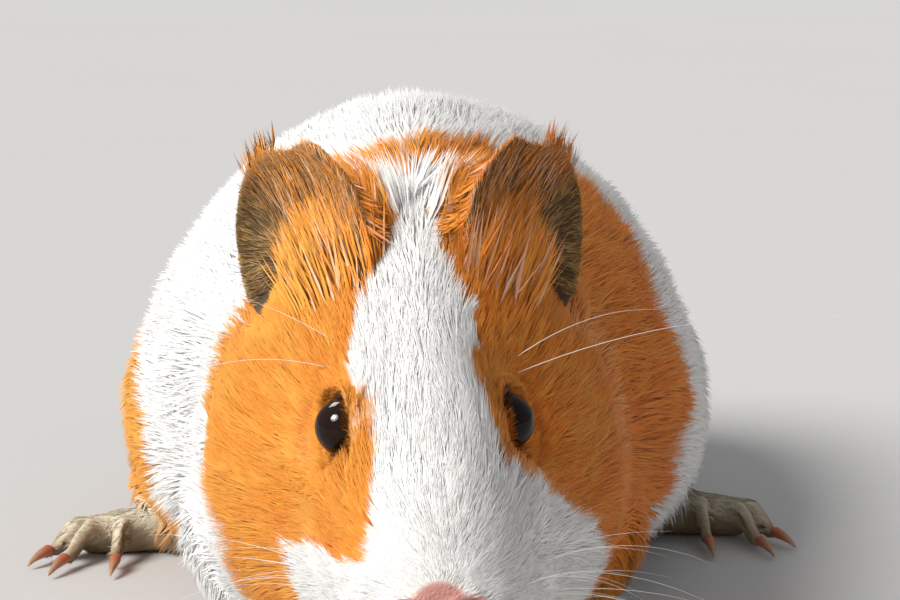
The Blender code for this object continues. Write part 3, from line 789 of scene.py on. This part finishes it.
def scatter(chosen):  # even random places on the chosen triangles
    wanted = covers[triangles].mean(1)
    size = np.maximum(lengths[triangles].mean(1) * widths[triangles].mean(1) * 0.5, coat["leastArea"])
    total = np.cumsum(np.where(chosen, triangleAreas * wanted / size, 0))
    count = int(min(round(total[-1]), coat["most"]))
    where = np.searchsorted(total, (np.arange(count) + dice.random(count)) / count * total[-1])
    where = np.minimum(where, len(triangles) - 1)
    a, b = dice.random(count), dice.random(count)
    flip = a + b > 1
    a, b = np.where(flip, 1 - a, a), np.where(flip, 1 - b, b)
    return where, np.stack([1 - a - b, a, b], 1)


def atRoots(values, where, shares):
    return np.einsum("tk,tk...->t...", shares, values[triangles[where]])


def rootsAt(where, shares):  # the places, the ways up, the lie and the places on the skin's plan
    ups = unit(atRoots(normals, where, shares))
    return (atRoots(places, where, shares), ups, atRoots(lie, where, shares),
            np.einsum("tk,tkc->tc", shares, skinPlan[corners[where]]))


def hugged(points, heights, roots, ups):
    # the points laid at these heights over the skin below them, unless that is far off, as past an edge
    found, facing = points.copy(), ups.copy()
    for i, (point, root) in enumerate(zip(points, roots)):
        place, normal, _, far = fleshTree.find_nearest(Vector(point))
        if place is not None and far < coat["hugReach"] * math.dist(point, root):
            found[i] = place + normal * heights[i]
            facing[i] = normal
    return found, facing


def buildTufts(name, roots, rings, tips, ups, wide, plan, values, loose):
    # each tuft is a thin closed blade: its root, its two sides and its tip
    count = len(roots)
    upRoot, upRing, upTip = ups
    sides = unit(np.cross(tips - roots, upRoot))
    roots = roots - upRoot * coat["sunk"] * mm
    across = unit(np.cross(sides, tips - roots))
    chord = roots + (tips - roots) * coat["ringAt"]
    above = np.sum((rings - chord) * across, axis=1)
    rings = rings + across * np.maximum(wide * mm * coat["thickness"] - above, 0)[:, None]
    # over a strong curve the ends stand off, so that the blade stays thin
    excess = across * np.maximum(above - wide * mm * coat["thickest"], 0)[:, None]
    roots, tips, rings = roots + excess * 0.75, tips + excess * 0.75, rings - excess * 0.25
    half = (wide * mm / 2)[:, None]
    vertices = np.stack([roots, rings - sides * half, rings + sides * half, tips], 1)
    vertices[:, :, 2] = np.maximum(vertices[:, :, 2], coat["floorGap"] * mm)
    share = coat["bodyShade"]
    own, aside = across * (1 - share), sides * coat["rounding"]
    shading = np.stack([upRoot * share + own, upRing * share + own - aside,
                        upRing * share + own + aside, upTip * share + own], 1)
    faces = np.array([(0, 2, 1), (3, 1, 2), (0, 1, 3), (0, 3, 2)], np.int32)
    index = (faces[None] + 4 * np.arange(count, dtype=np.int32)[:, None, None]).reshape(-1)
    mesh = bpy.data.meshes.new(name)
    mesh.vertices.add(4 * count)
    mesh.vertices.foreach_set("co", vertices.astype(np.float32).ravel())
    mesh.loops.add(len(index))
    mesh.loops.foreach_set("vertex_index", index)
    mesh.polygons.add(4 * count)
    mesh.polygons.foreach_set("loop_start", np.arange(4 * count, dtype=np.int32) * 3)
    setSmooth(mesh)
    mesh.update(calc_edges=True)
    mesh.normals_split_custom_set_from_vertices(unit(shading.reshape(-1, 3)))
    patch = coat["patch"] / 2
    around = np.array([(0, -patch), (-patch, 0), (patch, 0), (0, patch)])
    spots = np.clip((plan[:, None] + around).reshape(-1, 2), 0, 1)[index]
    mesh.uv_layers.new(name="OFBake").data.foreach_set("uv", spots.astype(np.float32).ravel())
    along = np.tile([0, coat["ringAt"], coat["ringAt"], 1], count)  # a loose hair has no painted shade at its root
    along = np.maximum(along, np.repeat(loose, 4) * coat["paleFrom"])
    writeValues(mesh, along=along, **{key: np.repeat(value, 4) for key, value in values.items()})
    print(name, count, "tufts")
    return newObject(name, mesh)


def growCoat(name, chosen, lift=(0.5, 0.8, 0.8, 1.1), hug=True):
    # lift is how high the tufts' rings and tips lie, from and to, as shares of the coat's rise
    where, shares = scatter(chosen)
    count = len(where)
    roots, ups, ways, plan = rootsAt(where, shares)
    ways = alongSurface(ways, ups)
    high = atRoots(rise, where, shares)
    long = atRoots(lengths, where, shares) * dice.uniform(*coat["lengthSpread"], count)
    wide = atRoots(widths, where, shares) * dice.uniform(*coat["widthSpread"], count)
    # locks: neighbours lean the same way and draw together at their tips
    lockCount = max(8, int(count * coat["lockShare"]))
    centres = roots[dice.choice(count, lockCount, replace=False)]
    tree = KDTree(lockCount)
    for i, centre in enumerate(centres):
        tree.insert(centre, i)
    tree.balance()
    lock = np.array([tree.find(root)[1] for root in roots])
    lockTurn = dice.normal(0, coat["sway"] * 0.5, lockCount)[lock]
    angles = coat["sway"] * ripple(toBody(roots), coat["swaySize"], 21) + lockTurn
    angles = angles + dice.normal(0, coat["stray"], count)
    ways = ways * np.cos(angles)[:, None] + np.cross(ways, ups) * np.sin(angles)[:, None]
    lockHeight = dice.uniform(*coat["lockHeight"], lockCount)[lock]
    ringHeight = high * dice.uniform(lift[0], lift[1], count) * mm * lockHeight
    tipHeight = high * dice.uniform(lift[2], lift[3], count) * mm * lockHeight
    step = (long * mm)[:, None]
    rings = roots + ways * step * coat["ringAt"]
    tips = roots + ways * step
    pull = centres[lock] - roots
    pull -= ups * dots(pull, ups)
    pull -= ways * dots(pull, ways)
    tips = tips + pull * coat["lockPull"]
    if hug:
        rings, upRing = hugged(rings, ringHeight, roots, ups)
        tips, upTip = hugged(tips, tipHeight, roots, ups)
    else:
        rings, upRing = rings + ups * ringHeight[:, None], ups
        tips, upTip = tips + ups * tipHeight[:, None], ups
    # on the crown and before the ears the coat stands up
    upright = (atRoots(stand, where, shares) * dice.uniform(*coat["standSpread"], count))[:, None]
    if hug and upright.max() > 0.02:
        heading = unit(atRoots(standWays, where, shares) + dice.normal(0, coat["stray"], (count, 3)))
        rings = rings + (roots + heading * step * coat["ringAt"] - rings) * upright * 0.8
        tips = tips + (roots + heading * step - tips) * upright
    onEar = isEar[triangles[where, 0]]
    marking = gingerMask(roots + ways * step * coat["colourAt"])
    # pale ear tufts: random tone, in part painted light in the shaded hollow
    bright = onEar & (dice.random(count) < earCoat["bright"])
    marking = np.where(onEar, np.where(bright, dice.uniform(0.6, 0.9, count), 1), marking)
    dusky = onEar & (dice.random(count) < earCoat["olive"])
    dusk = np.maximum(atRoots(isEar * (1 - earFur), where, shares),
                      np.where(dusky, dice.uniform(0.4, 0.9, count), 0))
    chance = 0.6 * dice.uniform(-1, 1, count) + 0.4 * dice.uniform(-1, 1, lockCount)[lock]
    values = {"ginger": marking, "dusk": dusk, "paw": atRoots(bareFoot, where, shares),
              "chance": np.clip(0.5 + 0.5 * chance, 0, 1)}
    loose = onEar * atRoots(hollowSide * 1.0, where, shares)
    return buildTufts(name, roots, rings, tips, (ups, upRing, upTip), wide, plan, values, loose)


middle = body[triangles].mean(1)
kind = partNames[triangles[:, 0]]
onBody = ~np.isin(kind, ["ear", "lid", "foreleg", "forepaw", "hind_foot"])
right = middle[:, 0] < posed(middle * (0, 1, 1))[:, 0]
behind = middle[:, 1]
regionEnds = {"Muzzle": 22, "Cheek": 43, "Temple": 62, "Neck": 98, "Side": 165}  # behind the nose
regions = {"coatMuzzle": onBody & (behind < regionEnds["Muzzle"])}
ends = list(regionEnds.items())
for (_, start), (name, end) in zip(ends, ends[1:]):
    for side, here in (("Right", right), ("Left", ~right)):
        regions["coat" + name + side] = onBody & (behind >= start) & (behind < end) & here
regions["coatRump"] = onBody & (behind >= regionEnds["Side"])
regions["coatLegs"] = np.isin(kind, ["foreleg", "forepaw", "hind_foot"])
coatPieces = [growCoat(name, chosen) for name, chosen in regions.items()]
coatPieces.append(growCoat("coatEars", kind == "ear", lift=(0.2, 0.7, 0.4, 1.1), hug=False))

# long wisps: a fan at the crown, brushes up the front of the ears, bridges from the crown to their inner
# edges, and the ears' upper corners and lower inner rims
wisps = {
    # "spots" are out, behind and up of the middles of the places, "way" is how the wisps point on the left
    # side, and "cream" is the share of pale ones
    "crown": {"reach": 5.5, "length": (6, 12), "width": 0.09, "each": 14.0, "stand": 0.8, "stray": 0.1,
              "way": (0.72, 0.35, 0.6)},
    "brush": {"reach": 6.5, "length": (6, 15), "width": 0.08, "each": 9.0, "stand": 0.75, "stray": 0.15,
              "cream": 0.14, "way": (0.35, 0.12, 1), "ends": 67,
              "spots": [(14, 57, 74), (11, 60, 80), (11, 53, 78)]},
    "bridge": {"reach": 5.5, "length": (8, 15), "width": 0.1, "each": 16.0, "stand": 0.85, "stray": 0.1,
               "cream": 0.08, "way": (0.5, 0.15, 1),
               "spots": [(6, 63, 86), (9.5, 61, 85), (13, 59, 82), (9.5, 55, 82)]},
    "corner": {"length": (3.0, 6.5), "width": 0.08, "each": 5.0, "stand": 1.0, "stray": 0.16,
               # how far out, as a share of the way to the rim, and from which degrees to which
               "from": 0.86, "turn": (49, 71), "way": (0.2, 0.1, 1)},
    "fringe": {"length": (3, 7.5), "width": 0.07, "each": 24.0, "stand": 0.95, "stray": 0.14, "cream": 0.1,
               "from": 0.62, "turn": (97, 136), "way": (-0.5, 0.2, 1),
               # degrees round the ear's root, and how steeply the hair falls there
               "fall": [(95, -0.85), (125, -0.8), (148, -0.5)]},
}


def growWisps(name, near, size, ways):  # tufts that stand out of the coat along given ways
    total = np.cumsum(triangleAreas * near)
    count = int(total[-1] * size["each"])
    where = np.minimum(np.searchsorted(total, dice.random(count) * total[-1]), len(triangles) - 1)
    shares = dice.dirichlet((1, 1, 1), count)
    roots, ups, flat, plan = rootsAt(where, shares)
    flat = unit(flat)
    heading = unit(unit(atRoots(ways, where, shares)) * size["stand"] + flat * (1 - size["stand"])
                   + dice.normal(0, size["stray"], (count, 3)))
    long = (dice.uniform(*size["length"], count) * mm)[:, None]
    rings = roots + heading * long * coat["ringAt"] + ups * 0.4 * mm
    tips = roots + unit(heading + flat * 0.3) * long
    marking = np.where(isEar[triangles[where, 0]], 1, gingerMask(roots))
    creamy = dice.random(count) < size.get("cream", 0)
    marking = marking * np.where(creamy, dice.uniform(0.55, 0.85, count), 1)
    none = np.zeros(count)
    values = {"ginger": marking, "dusk": none, "paw": none, "chance": dice.random(count)}
    wide = size["width"] * dice.uniform(0.7, 1.2, count)
    return buildTufts(name, roots, rings, tips, (ups, ups, ups), wide, plan, values, np.full(count, 0.8))


def nearSpots(size):
    near = np.zeros(len(middle), bool)
    for sign in (1, -1):
        for spot in posed(np.array(size["spots"]) * (sign, 1, 1)):
            near |= lengthOf(middle - spot) < size["reach"]
    return onBody & near


def onRim(size):
    start, end = size["turn"]
    return (kind == "ear") & (spotShare > size["from"]) & (spotTurn > start) & (spotTurn < end)


spotTurn, spotShare = earTurn[triangles].mean(1), earShare[triangles].mean(1)
crownSpan = (middle - whorl) * (0.8, 1, 1)  # a little wider than long
nearCrown = onBody & (lengthOf(crownSpan) < wisps["crown"]["reach"])
nearBrush = nearSpots(wisps["brush"]) & (middle[:, 1] < wisps["brush"]["ends"])
crownFlip = waysOf(np.sign(body[:, 0] - whorl[0]), 1, 1)
fallFlip = sideFlip * waysOf(1, 1, lineAt(wisps["fringe"]["fall"], earTurn))
for name, key, near, flip in (("coatCrown", "crown", nearCrown, crownFlip),
                              ("coatBrushes", "brush", nearBrush, sideFlip),
                              ("coatBridges", "bridge", nearSpots(wisps["bridge"]), crownFlip),
                              ("coatEarCorners", "corner", onRim(wisps["corner"]), sideFlip),
                              ("coatEarFringes", "fringe", onRim(wisps["fringe"]), fallFlip)):
    coatPieces.append(growWisps(name, near, wisps[key], flip * wisps[key]["way"]))

writeValues(skin.data, ginger=ginger, bareNose=bareNose, bareFoot=bareFoot, bareEar=isEar, bareLid=isLid,
            hollow=hollow)
setSmooth(skin.data)

# eyes

eyeSizes = {
    "rings": 40, "segments": 56,
    "cornea": 0.04, "smaller": 0.02,  # how far the clear front stands out and the whole ball is drawn in
}


def makeEye(side):
    eye = eyes[side]
    made = bmesh.new()
    bmesh.ops.create_uvsphere(made, u_segments=eyeSizes["segments"], v_segments=eyeSizes["rings"], radius=1)
    for vertex in made.verts:
        vertex.co *= 1 + eyeSizes["cornea"] * max(0, vertex.co.z) ** 4 - eyeSizes["smaller"]
    bmesh.ops.transform(made, matrix=turnedTo(eye) @ Matrix.Scale(eye["radius"], 4), verts=made.verts)
    bmesh.ops.recalc_face_normals(made, faces=made.faces)
    piece = finished("eyeball_" + side, made)
    setSmooth(piece.data)
    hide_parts("eye_" + side)
    return piece


eyePieces = [makeEye("left"), makeEye("right")]

# claws

clawSizes = {"voxel": 0.22, "smoothing": 3}


def makeClaw(node):
    piece = voxelRemeshed(finished("nail" + node[4:], mergedCopy(node)), clawSizes["voxel"])
    spots, _, _, _ = meshArrays(piece.data)
    spots = soften(spots, edgeArray(piece.data), clawSizes["smoothing"])
    setPlaces(piece.data, spots)
    far = lengthOf((spots - np.array(middleOf(pawOf(node))))[:, :2])
    writeValues(piece.data, toTip=(far - far.min()) / (far.max() - far.min()))
    setSmooth(piece.data)
    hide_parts(node)
    return piece


clawPieces = [makeClaw(node) for node in sorted(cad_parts) if node.startswith("claw_")]
print("eyes and claws made")

# whiskers

whisker = {
    "rootsOut": (9, 16), "rootsBehind": (6, 17), "rootsUp": (33, 42),
    "rows": 4, "inRow": 5,
    "length": (20, 50), "radius": 0.07, "thinnest": 0.012, "sides": 4, "steps": 14,
    # out, behind, up, length and heading up of the brow whiskers
    "browLeft": [(16, 42, 64, 58, 0.5), (15, 44, 66, 36, 0.8)],
    "browRight": [(15, 42, 66, 34, 0.22), (13, 45, 69, 20, 0.6)],
}


def whiskerPlans(sign):  # root, length and way of each whisker on one side, as on the left
    plans = []
    for row in range(whisker["rows"]):
        for number in range(whisker["inRow"]):
            a = (row + dice.uniform(0.1, 0.9)) / whisker["rows"]
            b = (number + dice.uniform(0.1, 0.9)) / whisker["inRow"]
            root = [low + (high - low) * t for (low, high), t in
                    ((whisker["rootsOut"], b), (whisker["rootsBehind"], b), (whisker["rootsUp"], a))]
            length = dice.uniform(*whisker["length"]) * atLeast(0.55, b)
            plans.append((root, length, (1, 0.4 + 0.7 * b + dice.normal(0, 0.12),
                                         0.12 + 0.6 * (a - 0.4) + dice.normal(0, 0.1))))
    for *root, length, rising in whisker["browLeft" if sign > 0 else "browRight"]:
        plans.append((root, length, (1, 0.35, rising)))
    return plans


def addWhisker(made, ground, heading, length):
    bend = Vector((0, dice.uniform(0.1, 0.7), dice.uniform(-1.1, -0.35)))
    rings = []
    for step in range(whisker["steps"] + 1):
        t = step / whisker["steps"]
        point = ground + heading * length * mm * t + bend * length * mm * t * t * 0.5
        thick = max(whisker["radius"] * (1 - 0.85 * t), whisker["thinnest"]) * mm
        tangent = (heading + bend * t).normalized()
        across = tangent.orthogonal().normalized()
        other = tangent.cross(across)
        ring = bmesh.ops.create_circle(made, segments=whisker["sides"], radius=1)["verts"]
        for vertex in ring:
            vertex.co = point + (across * vertex.co.x + other * vertex.co.y) * thick
        if rings:
            bridgeRings(made, rings[-1], ring)
        rings.append(ring)
    for ring in (rings[0], rings[-1]):
        bmesh.ops.contextual_create(made, geom=ring)


def makeWhiskers():
    made = bmesh.new()
    for sign in (-1, 1):
        for root, length, way in whiskerPlans(sign):
            spot = inFrame([(sign * root[0], root[1], root[2])])[0]
            ground, normal, _, _ = fleshTree.find_nearest(Vector(spot))
            heading = Vector((sign * way[0], way[1], way[2])).normalized()
            addWhisker(made, ground, (heading + normal * 0.5).normalized(), length)
    bmesh.ops.recalc_face_normals(made, faces=made.faces)
    piece = finished("whiskers", made)
    setSmooth(piece.data)
    return piece


whiskers = makeWhiskers()
print("whiskers made")

# materials


class Flow:  # a node's output that can be used in sums; without an output, the material's nodes alone
    def __init__(self, tree, socket=None):
        self.tree = tree
        self.socket = socket

    def node(self, kind, settings=None, links=None):  # a new node's first output; colours by their names
        made = self.tree.nodes.new(kind)
        for key, value in (settings or {}).items():
            setattr(made, key, value)
        for key, value in (links or {}).items():
            socket = made.inputs[key]
            if isinstance(value, Flow):
                self.tree.links.new(value.socket, socket)
            elif socket.type == "RGBA":
                socket.default_value = (*colours[value], 1)
            else:
                socket.default_value = value
        return Flow(self.tree, made.outputs[0])

    def output(self, which):
        return Flow(self.tree, self.socket.node.outputs[which])

    def mixed(self, share, first, second):  # colours, first where share is 0
        return self.node("ShaderNodeMix", {"data_type": "RGBA"}, {0: share, 6: first, 7: second}).output(2)

    def attribute(self, name):
        return self.node("ShaderNodeAttribute", {"attribute_name": name}).output("Fac")

    def place(self):
        return self.node("ShaderNodeTexCoord").output("Object")

    def noise(self, scale, detail):
        return self.node("ShaderNodeTexNoise", None,
                         {"Vector": self.place(), "Scale": scale, "Detail": detail})

    def bump(self, height, strength, distance):
        return self.node("ShaderNodeBump", None,
                         {"Strength": strength, "Distance": distance, "Height": height})

    def maths(self, operation, first, second):
        return self.node("ShaderNodeMath", {"operation": operation}, {0: first, 1: second})

    def __add__(self, other):
        return self.maths("ADD", self, other)

    def __radd__(self, other):
        return self.maths("ADD", other, self)

    def __sub__(self, other):
        return self.maths("SUBTRACT", self, other)

    def __rsub__(self, other):
        return self.maths("SUBTRACT", other, self)

    def __mul__(self, other):
        return self.maths("MULTIPLY", self, other)

    def __rmul__(self, other):
        return self.maths("MULTIPLY", other, self)


def newMaterial(name, settings, look):  # look says what feeds which of the shader's sockets
    material = bpy.data.materials.new(name)
    material.use_nodes = True
    tree = material.node_tree
    shader = tree.nodes["Principled BSDF"]
    for key, value in settings.items():
        shader.inputs[key].default_value = value
    for key, flow in look(Flow(tree)).items():
        tree.links.new(flow.socket, shader.inputs[key])
    return material


colours = {
    # the ginger and white root colours: painted shade at the tufts' roots, and the skin's own tones
    "gingerLight": (0.93, 0.42, 0.075), "gingerDeep": (0.78, 0.19, 0.012), "gingerRoot": (0.50, 0.11, 0.010),
    "white": (0.96, 0.955, 0.94), "whiteRoot": (0.86, 0.84, 0.78), "whiteGrey": (0.62, 0.58, 0.50),
    # the low paw colour is painted shade on the paw hair near the floor
    "pawHair": (0.84, 0.76, 0.58), "pawLow": (0.40, 0.27, 0.15),
    "earHair": (0.10, 0.06, 0.025), "earGold": (0.60, 0.36, 0.13),
    # the ear's brown is painted shade on the ear away from the sun
    "earSkin": (0.085, 0.058, 0.032), "earOlive": (0.12, 0.085, 0.045), "earBrown": (0.085, 0.042, 0.022),
    # the nostril colour is painted shade in the nostrils, the mouth's line and the cleft
    "noseSkin": (0.70, 0.33, 0.28), "noseDark": (0.22, 0.07, 0.05), "nostril": (0.08, 0.025, 0.02),
    "footSkin": (0.62, 0.47, 0.31), "footPink": (0.64, 0.38, 0.28), "lidSkin": (0.022, 0.016, 0.013),
    "eyeDark": (0.003, 0.002, 0.002), "eyeBrown": (0.012, 0.005, 0.003),
    "claw": (0.46, 0.12, 0.06), "clawTip": (0.42, 0.26, 0.15),
    "whiskerTan": (0.75, 0.70, 0.62), "whiskerPale": (0.90, 0.88, 0.84),
    "floor": (0.60, 0.60, 0.595), "floorPale": (0.63, 0.63, 0.625),
}


def furLook(nodes):
    along, chance = nodes.attribute("along"), nodes.attribute("chance")
    patchy = nodes.noise(85.0, 2.0)
    place = nodes.node("ShaderNodeSeparateXYZ", None, {0: nodes.place()})
    deeperToneAndSideShade = chance * 0.6 + patchy * 0.9 - 0.25 + place.output("X") * 7.0  # deepest on the left side: painted shade of the side away from the sun, over random tone
    warm = nodes.mixed(deeperToneAndSideShade, "gingerLight", "gingerDeep")
    # painted shade: ginger and white tufts darken towards their roots
    warm = nodes.mixed(1 - along * 1.6, warm, "gingerRoot")
    pale = nodes.mixed(0.9 - along * 1.8, "white", "whiteRoot")
    pale = nodes.mixed(chance * 0.12, pale, "whiteGrey")
    both = nodes.mixed(nodes.attribute("ginger"), pale, warm)
    dark = nodes.mixed(chance * 1.5 - 0.3, "earHair", "earGold")
    both = nodes.mixed(nodes.attribute("dusk"), both, dark)
    # painted shade: the paw hair darkens towards the floor
    paw = nodes.mixed(1.25 - place.output("Z") * 150.0, "pawHair", "pawLow")
    return {"Base Color": nodes.mixed(nodes.attribute("paw"), both, paw)}


def hideLook(nodes):
    coarse, fineNoise = nodes.noise(120.0, 4.0), nodes.noise(1400.0, 3.0)
    bareNose, bareLid = nodes.attribute("bareNose"), nodes.attribute("bareLid")
    warm = nodes.mixed(coarse, "gingerRoot", "gingerDeep")
    pale = nodes.mixed(coarse, "whiteRoot", "white")
    colour = nodes.mixed(nodes.attribute("ginger"), pale, warm)
    foot = nodes.mixed(coarse * 1.5 - 0.25, "footSkin", "footPink")
    foot = nodes.mixed(fineNoise * 0.35, foot, "earSkin")
    colour = nodes.mixed(nodes.attribute("bareFoot"), colour, foot)
    sideways = nodes.node("ShaderNodeSeparateXYZ", None, {0: nodes.place()}).output("X")
    earColour = nodes.mixed(coarse * 0.8, "earSkin", "earOlive")
    # painted shade: the ear on the left side, away from the sun, turns browner
    earColour = nodes.mixed(sideways * 20.0 + 0.1, earColour, "earBrown")
    colour = nodes.mixed(nodes.attribute("bareEar"), colour, earColour)
    noseColour = nodes.mixed(fineNoise * 0.6, "noseSkin", "noseDark")
    colour = nodes.mixed(bareNose, colour, noseColour)
    # painted shade in the nostrils, the mouth's line and the cleft
    colour = nodes.mixed(nodes.attribute("hollow"), colour, "nostril")
    pores = nodes.node("ShaderNodeTexVoronoi", {"feature": "DISTANCE_TO_EDGE"},
                       {"Vector": nodes.place(), "Scale": 1500.0})
    return {"Base Color": nodes.mixed(bareLid, colour, "lidSkin"),
            "Roughness": 0.75 - bareNose * 0.35 - bareLid * 0.3,
            "Normal": nodes.bump(fineNoise * 0.5 + pores * bareNose * 1.5, 0.5, 0.0003)}


def clawLook(nodes):
    grain = nodes.noise(700.0, 3.0)
    share = nodes.attribute("toTip") * 1.5 - 0.45 + grain * 0.3
    return {"Base Color": nodes.mixed(share, "claw", "clawTip"),
            "Normal": nodes.bump(grain, 0.3, 0.0002)}


def cloudy(scale, detail, first, second):  # a look of two colours in soft clouds
    return lambda nodes: {"Base Color": nodes.mixed(nodes.noise(scale, detail), first, second)}


fur = newMaterial("fur", {"Roughness": 0.55, "Specular IOR Level": 0.2}, furLook)
hide = newMaterial("hide", {"Specular IOR Level": 0.35, "Sheen Weight": 0.1}, hideLook)
wetEye = newMaterial("wetEye", {"Roughness": 0.03, "Specular IOR Level": 0.16},
                     cloudy(500.0, 3.0, "eyeDark", "eyeBrown"))
clawHorn = newMaterial("clawHorn", {"Roughness": 0.38, "Coat Weight": 0.15}, clawLook)
whiskerHair = newMaterial("whiskerHair", {"Roughness": 0.35},
                          cloudy(60.0, 1.0, "whiskerTan", "whiskerPale"))
paleFloor = newMaterial("paleFloor", {"Roughness": 0.8, "Specular IOR Level": 0.2},
                        cloudy(3.0, 2.0, "floor", "floorPale"))

skin.data.materials.clear()
for pieces, material in ((coatPieces, fur), ([skin], hide), (eyePieces, wetEye), (clawPieces, clawHorn),
                         ([whiskers], whiskerHair)):
    for piece in pieces:
        piece.data.materials.append(material)
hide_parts(*fleshNodes, "ear_left", "ear_right")
for piece in [skin, whiskers, *coatPieces, *eyePieces, *clawPieces]:
    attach(piece, "root")
print("materials given")

# floor, lights and camera

studio = {
    "floor": 6.0, "aim": (0, 0, 0.04),
    "sun": {"way": (-0.74, -0.54, 0.85), "strength": 3.7, "spread": 26, "tint": (1.0, 0.985, 0.96)},
    # two windows that fall on the eyes alone
    "windows": [{"place": (-0.6, -0.46, 0.70), "size": 0.22, "watts": 14.0},
                {"place": (-0.42, 0.45, 0.75), "size": 0.3, "watts": 5.0}],
    "sky": (0.99, 0.985, 1.0), "skyStrength": 0.36,
    "camera": (0.007, -0.434, 0.1456), "pitch": 11.0, "lens": 92.16, "sensor": 36,
}

ground = bmesh.new()
bmesh.ops.create_grid(ground, x_segments=2, y_segments=2, size=studio["floor"])
floor = finished("floor", ground)
floor.data.materials.append(paleFloor)


def addLight(name, kind, place, settings):  # turned to the middle of the animal
    lamp = bpy.data.lights.new(name, kind)
    for key, value in settings.items():
        setattr(lamp, key, value)
    made = newObject(name, lamp)
    made.location = place
    made.rotation_euler = (Vector(studio["aim"]) - Vector(place)).to_track_quat("-Z", "Y").to_euler()
    return made


sun = studio["sun"]
addLight("sun", "SUN", sun["way"], {"energy": sun["strength"], "angle": math.radians(sun["spread"]),
                                    "color": sun["tint"]})
lit = bpy.data.collections.new("litByWindows")
for piece in eyePieces:
    lit.objects.link(piece)
for window in studio["windows"]:
    pane = addLight("window", "AREA", window["place"], {"size": window["size"], "energy": window["watts"]})
    pane.light_linking.receiver_collection = lit

world = bpy.data.worlds.new("studio")
bpy.context.scene.world = world
world.use_nodes = True
sky = world.node_tree.nodes["Background"].inputs
sky["Color"].default_value = (*studio["sky"], 1)
sky["Strength"].default_value = studio["skyStrength"]

cameraData = bpy.data.cameras.new("camera")
cameraData.lens = studio["lens"]
cameraData.sensor_width = studio["sensor"]
cameraData.clip_start = 0.01
camera = newObject("camera", cameraData)
camera.location = studio["camera"]
camera.rotation_euler = (math.radians(90 - studio["pitch"]), 0, 0)
bpy.context.scene.camera = camera
bpy.context.scene.view_settings.view_transform = "Standard"
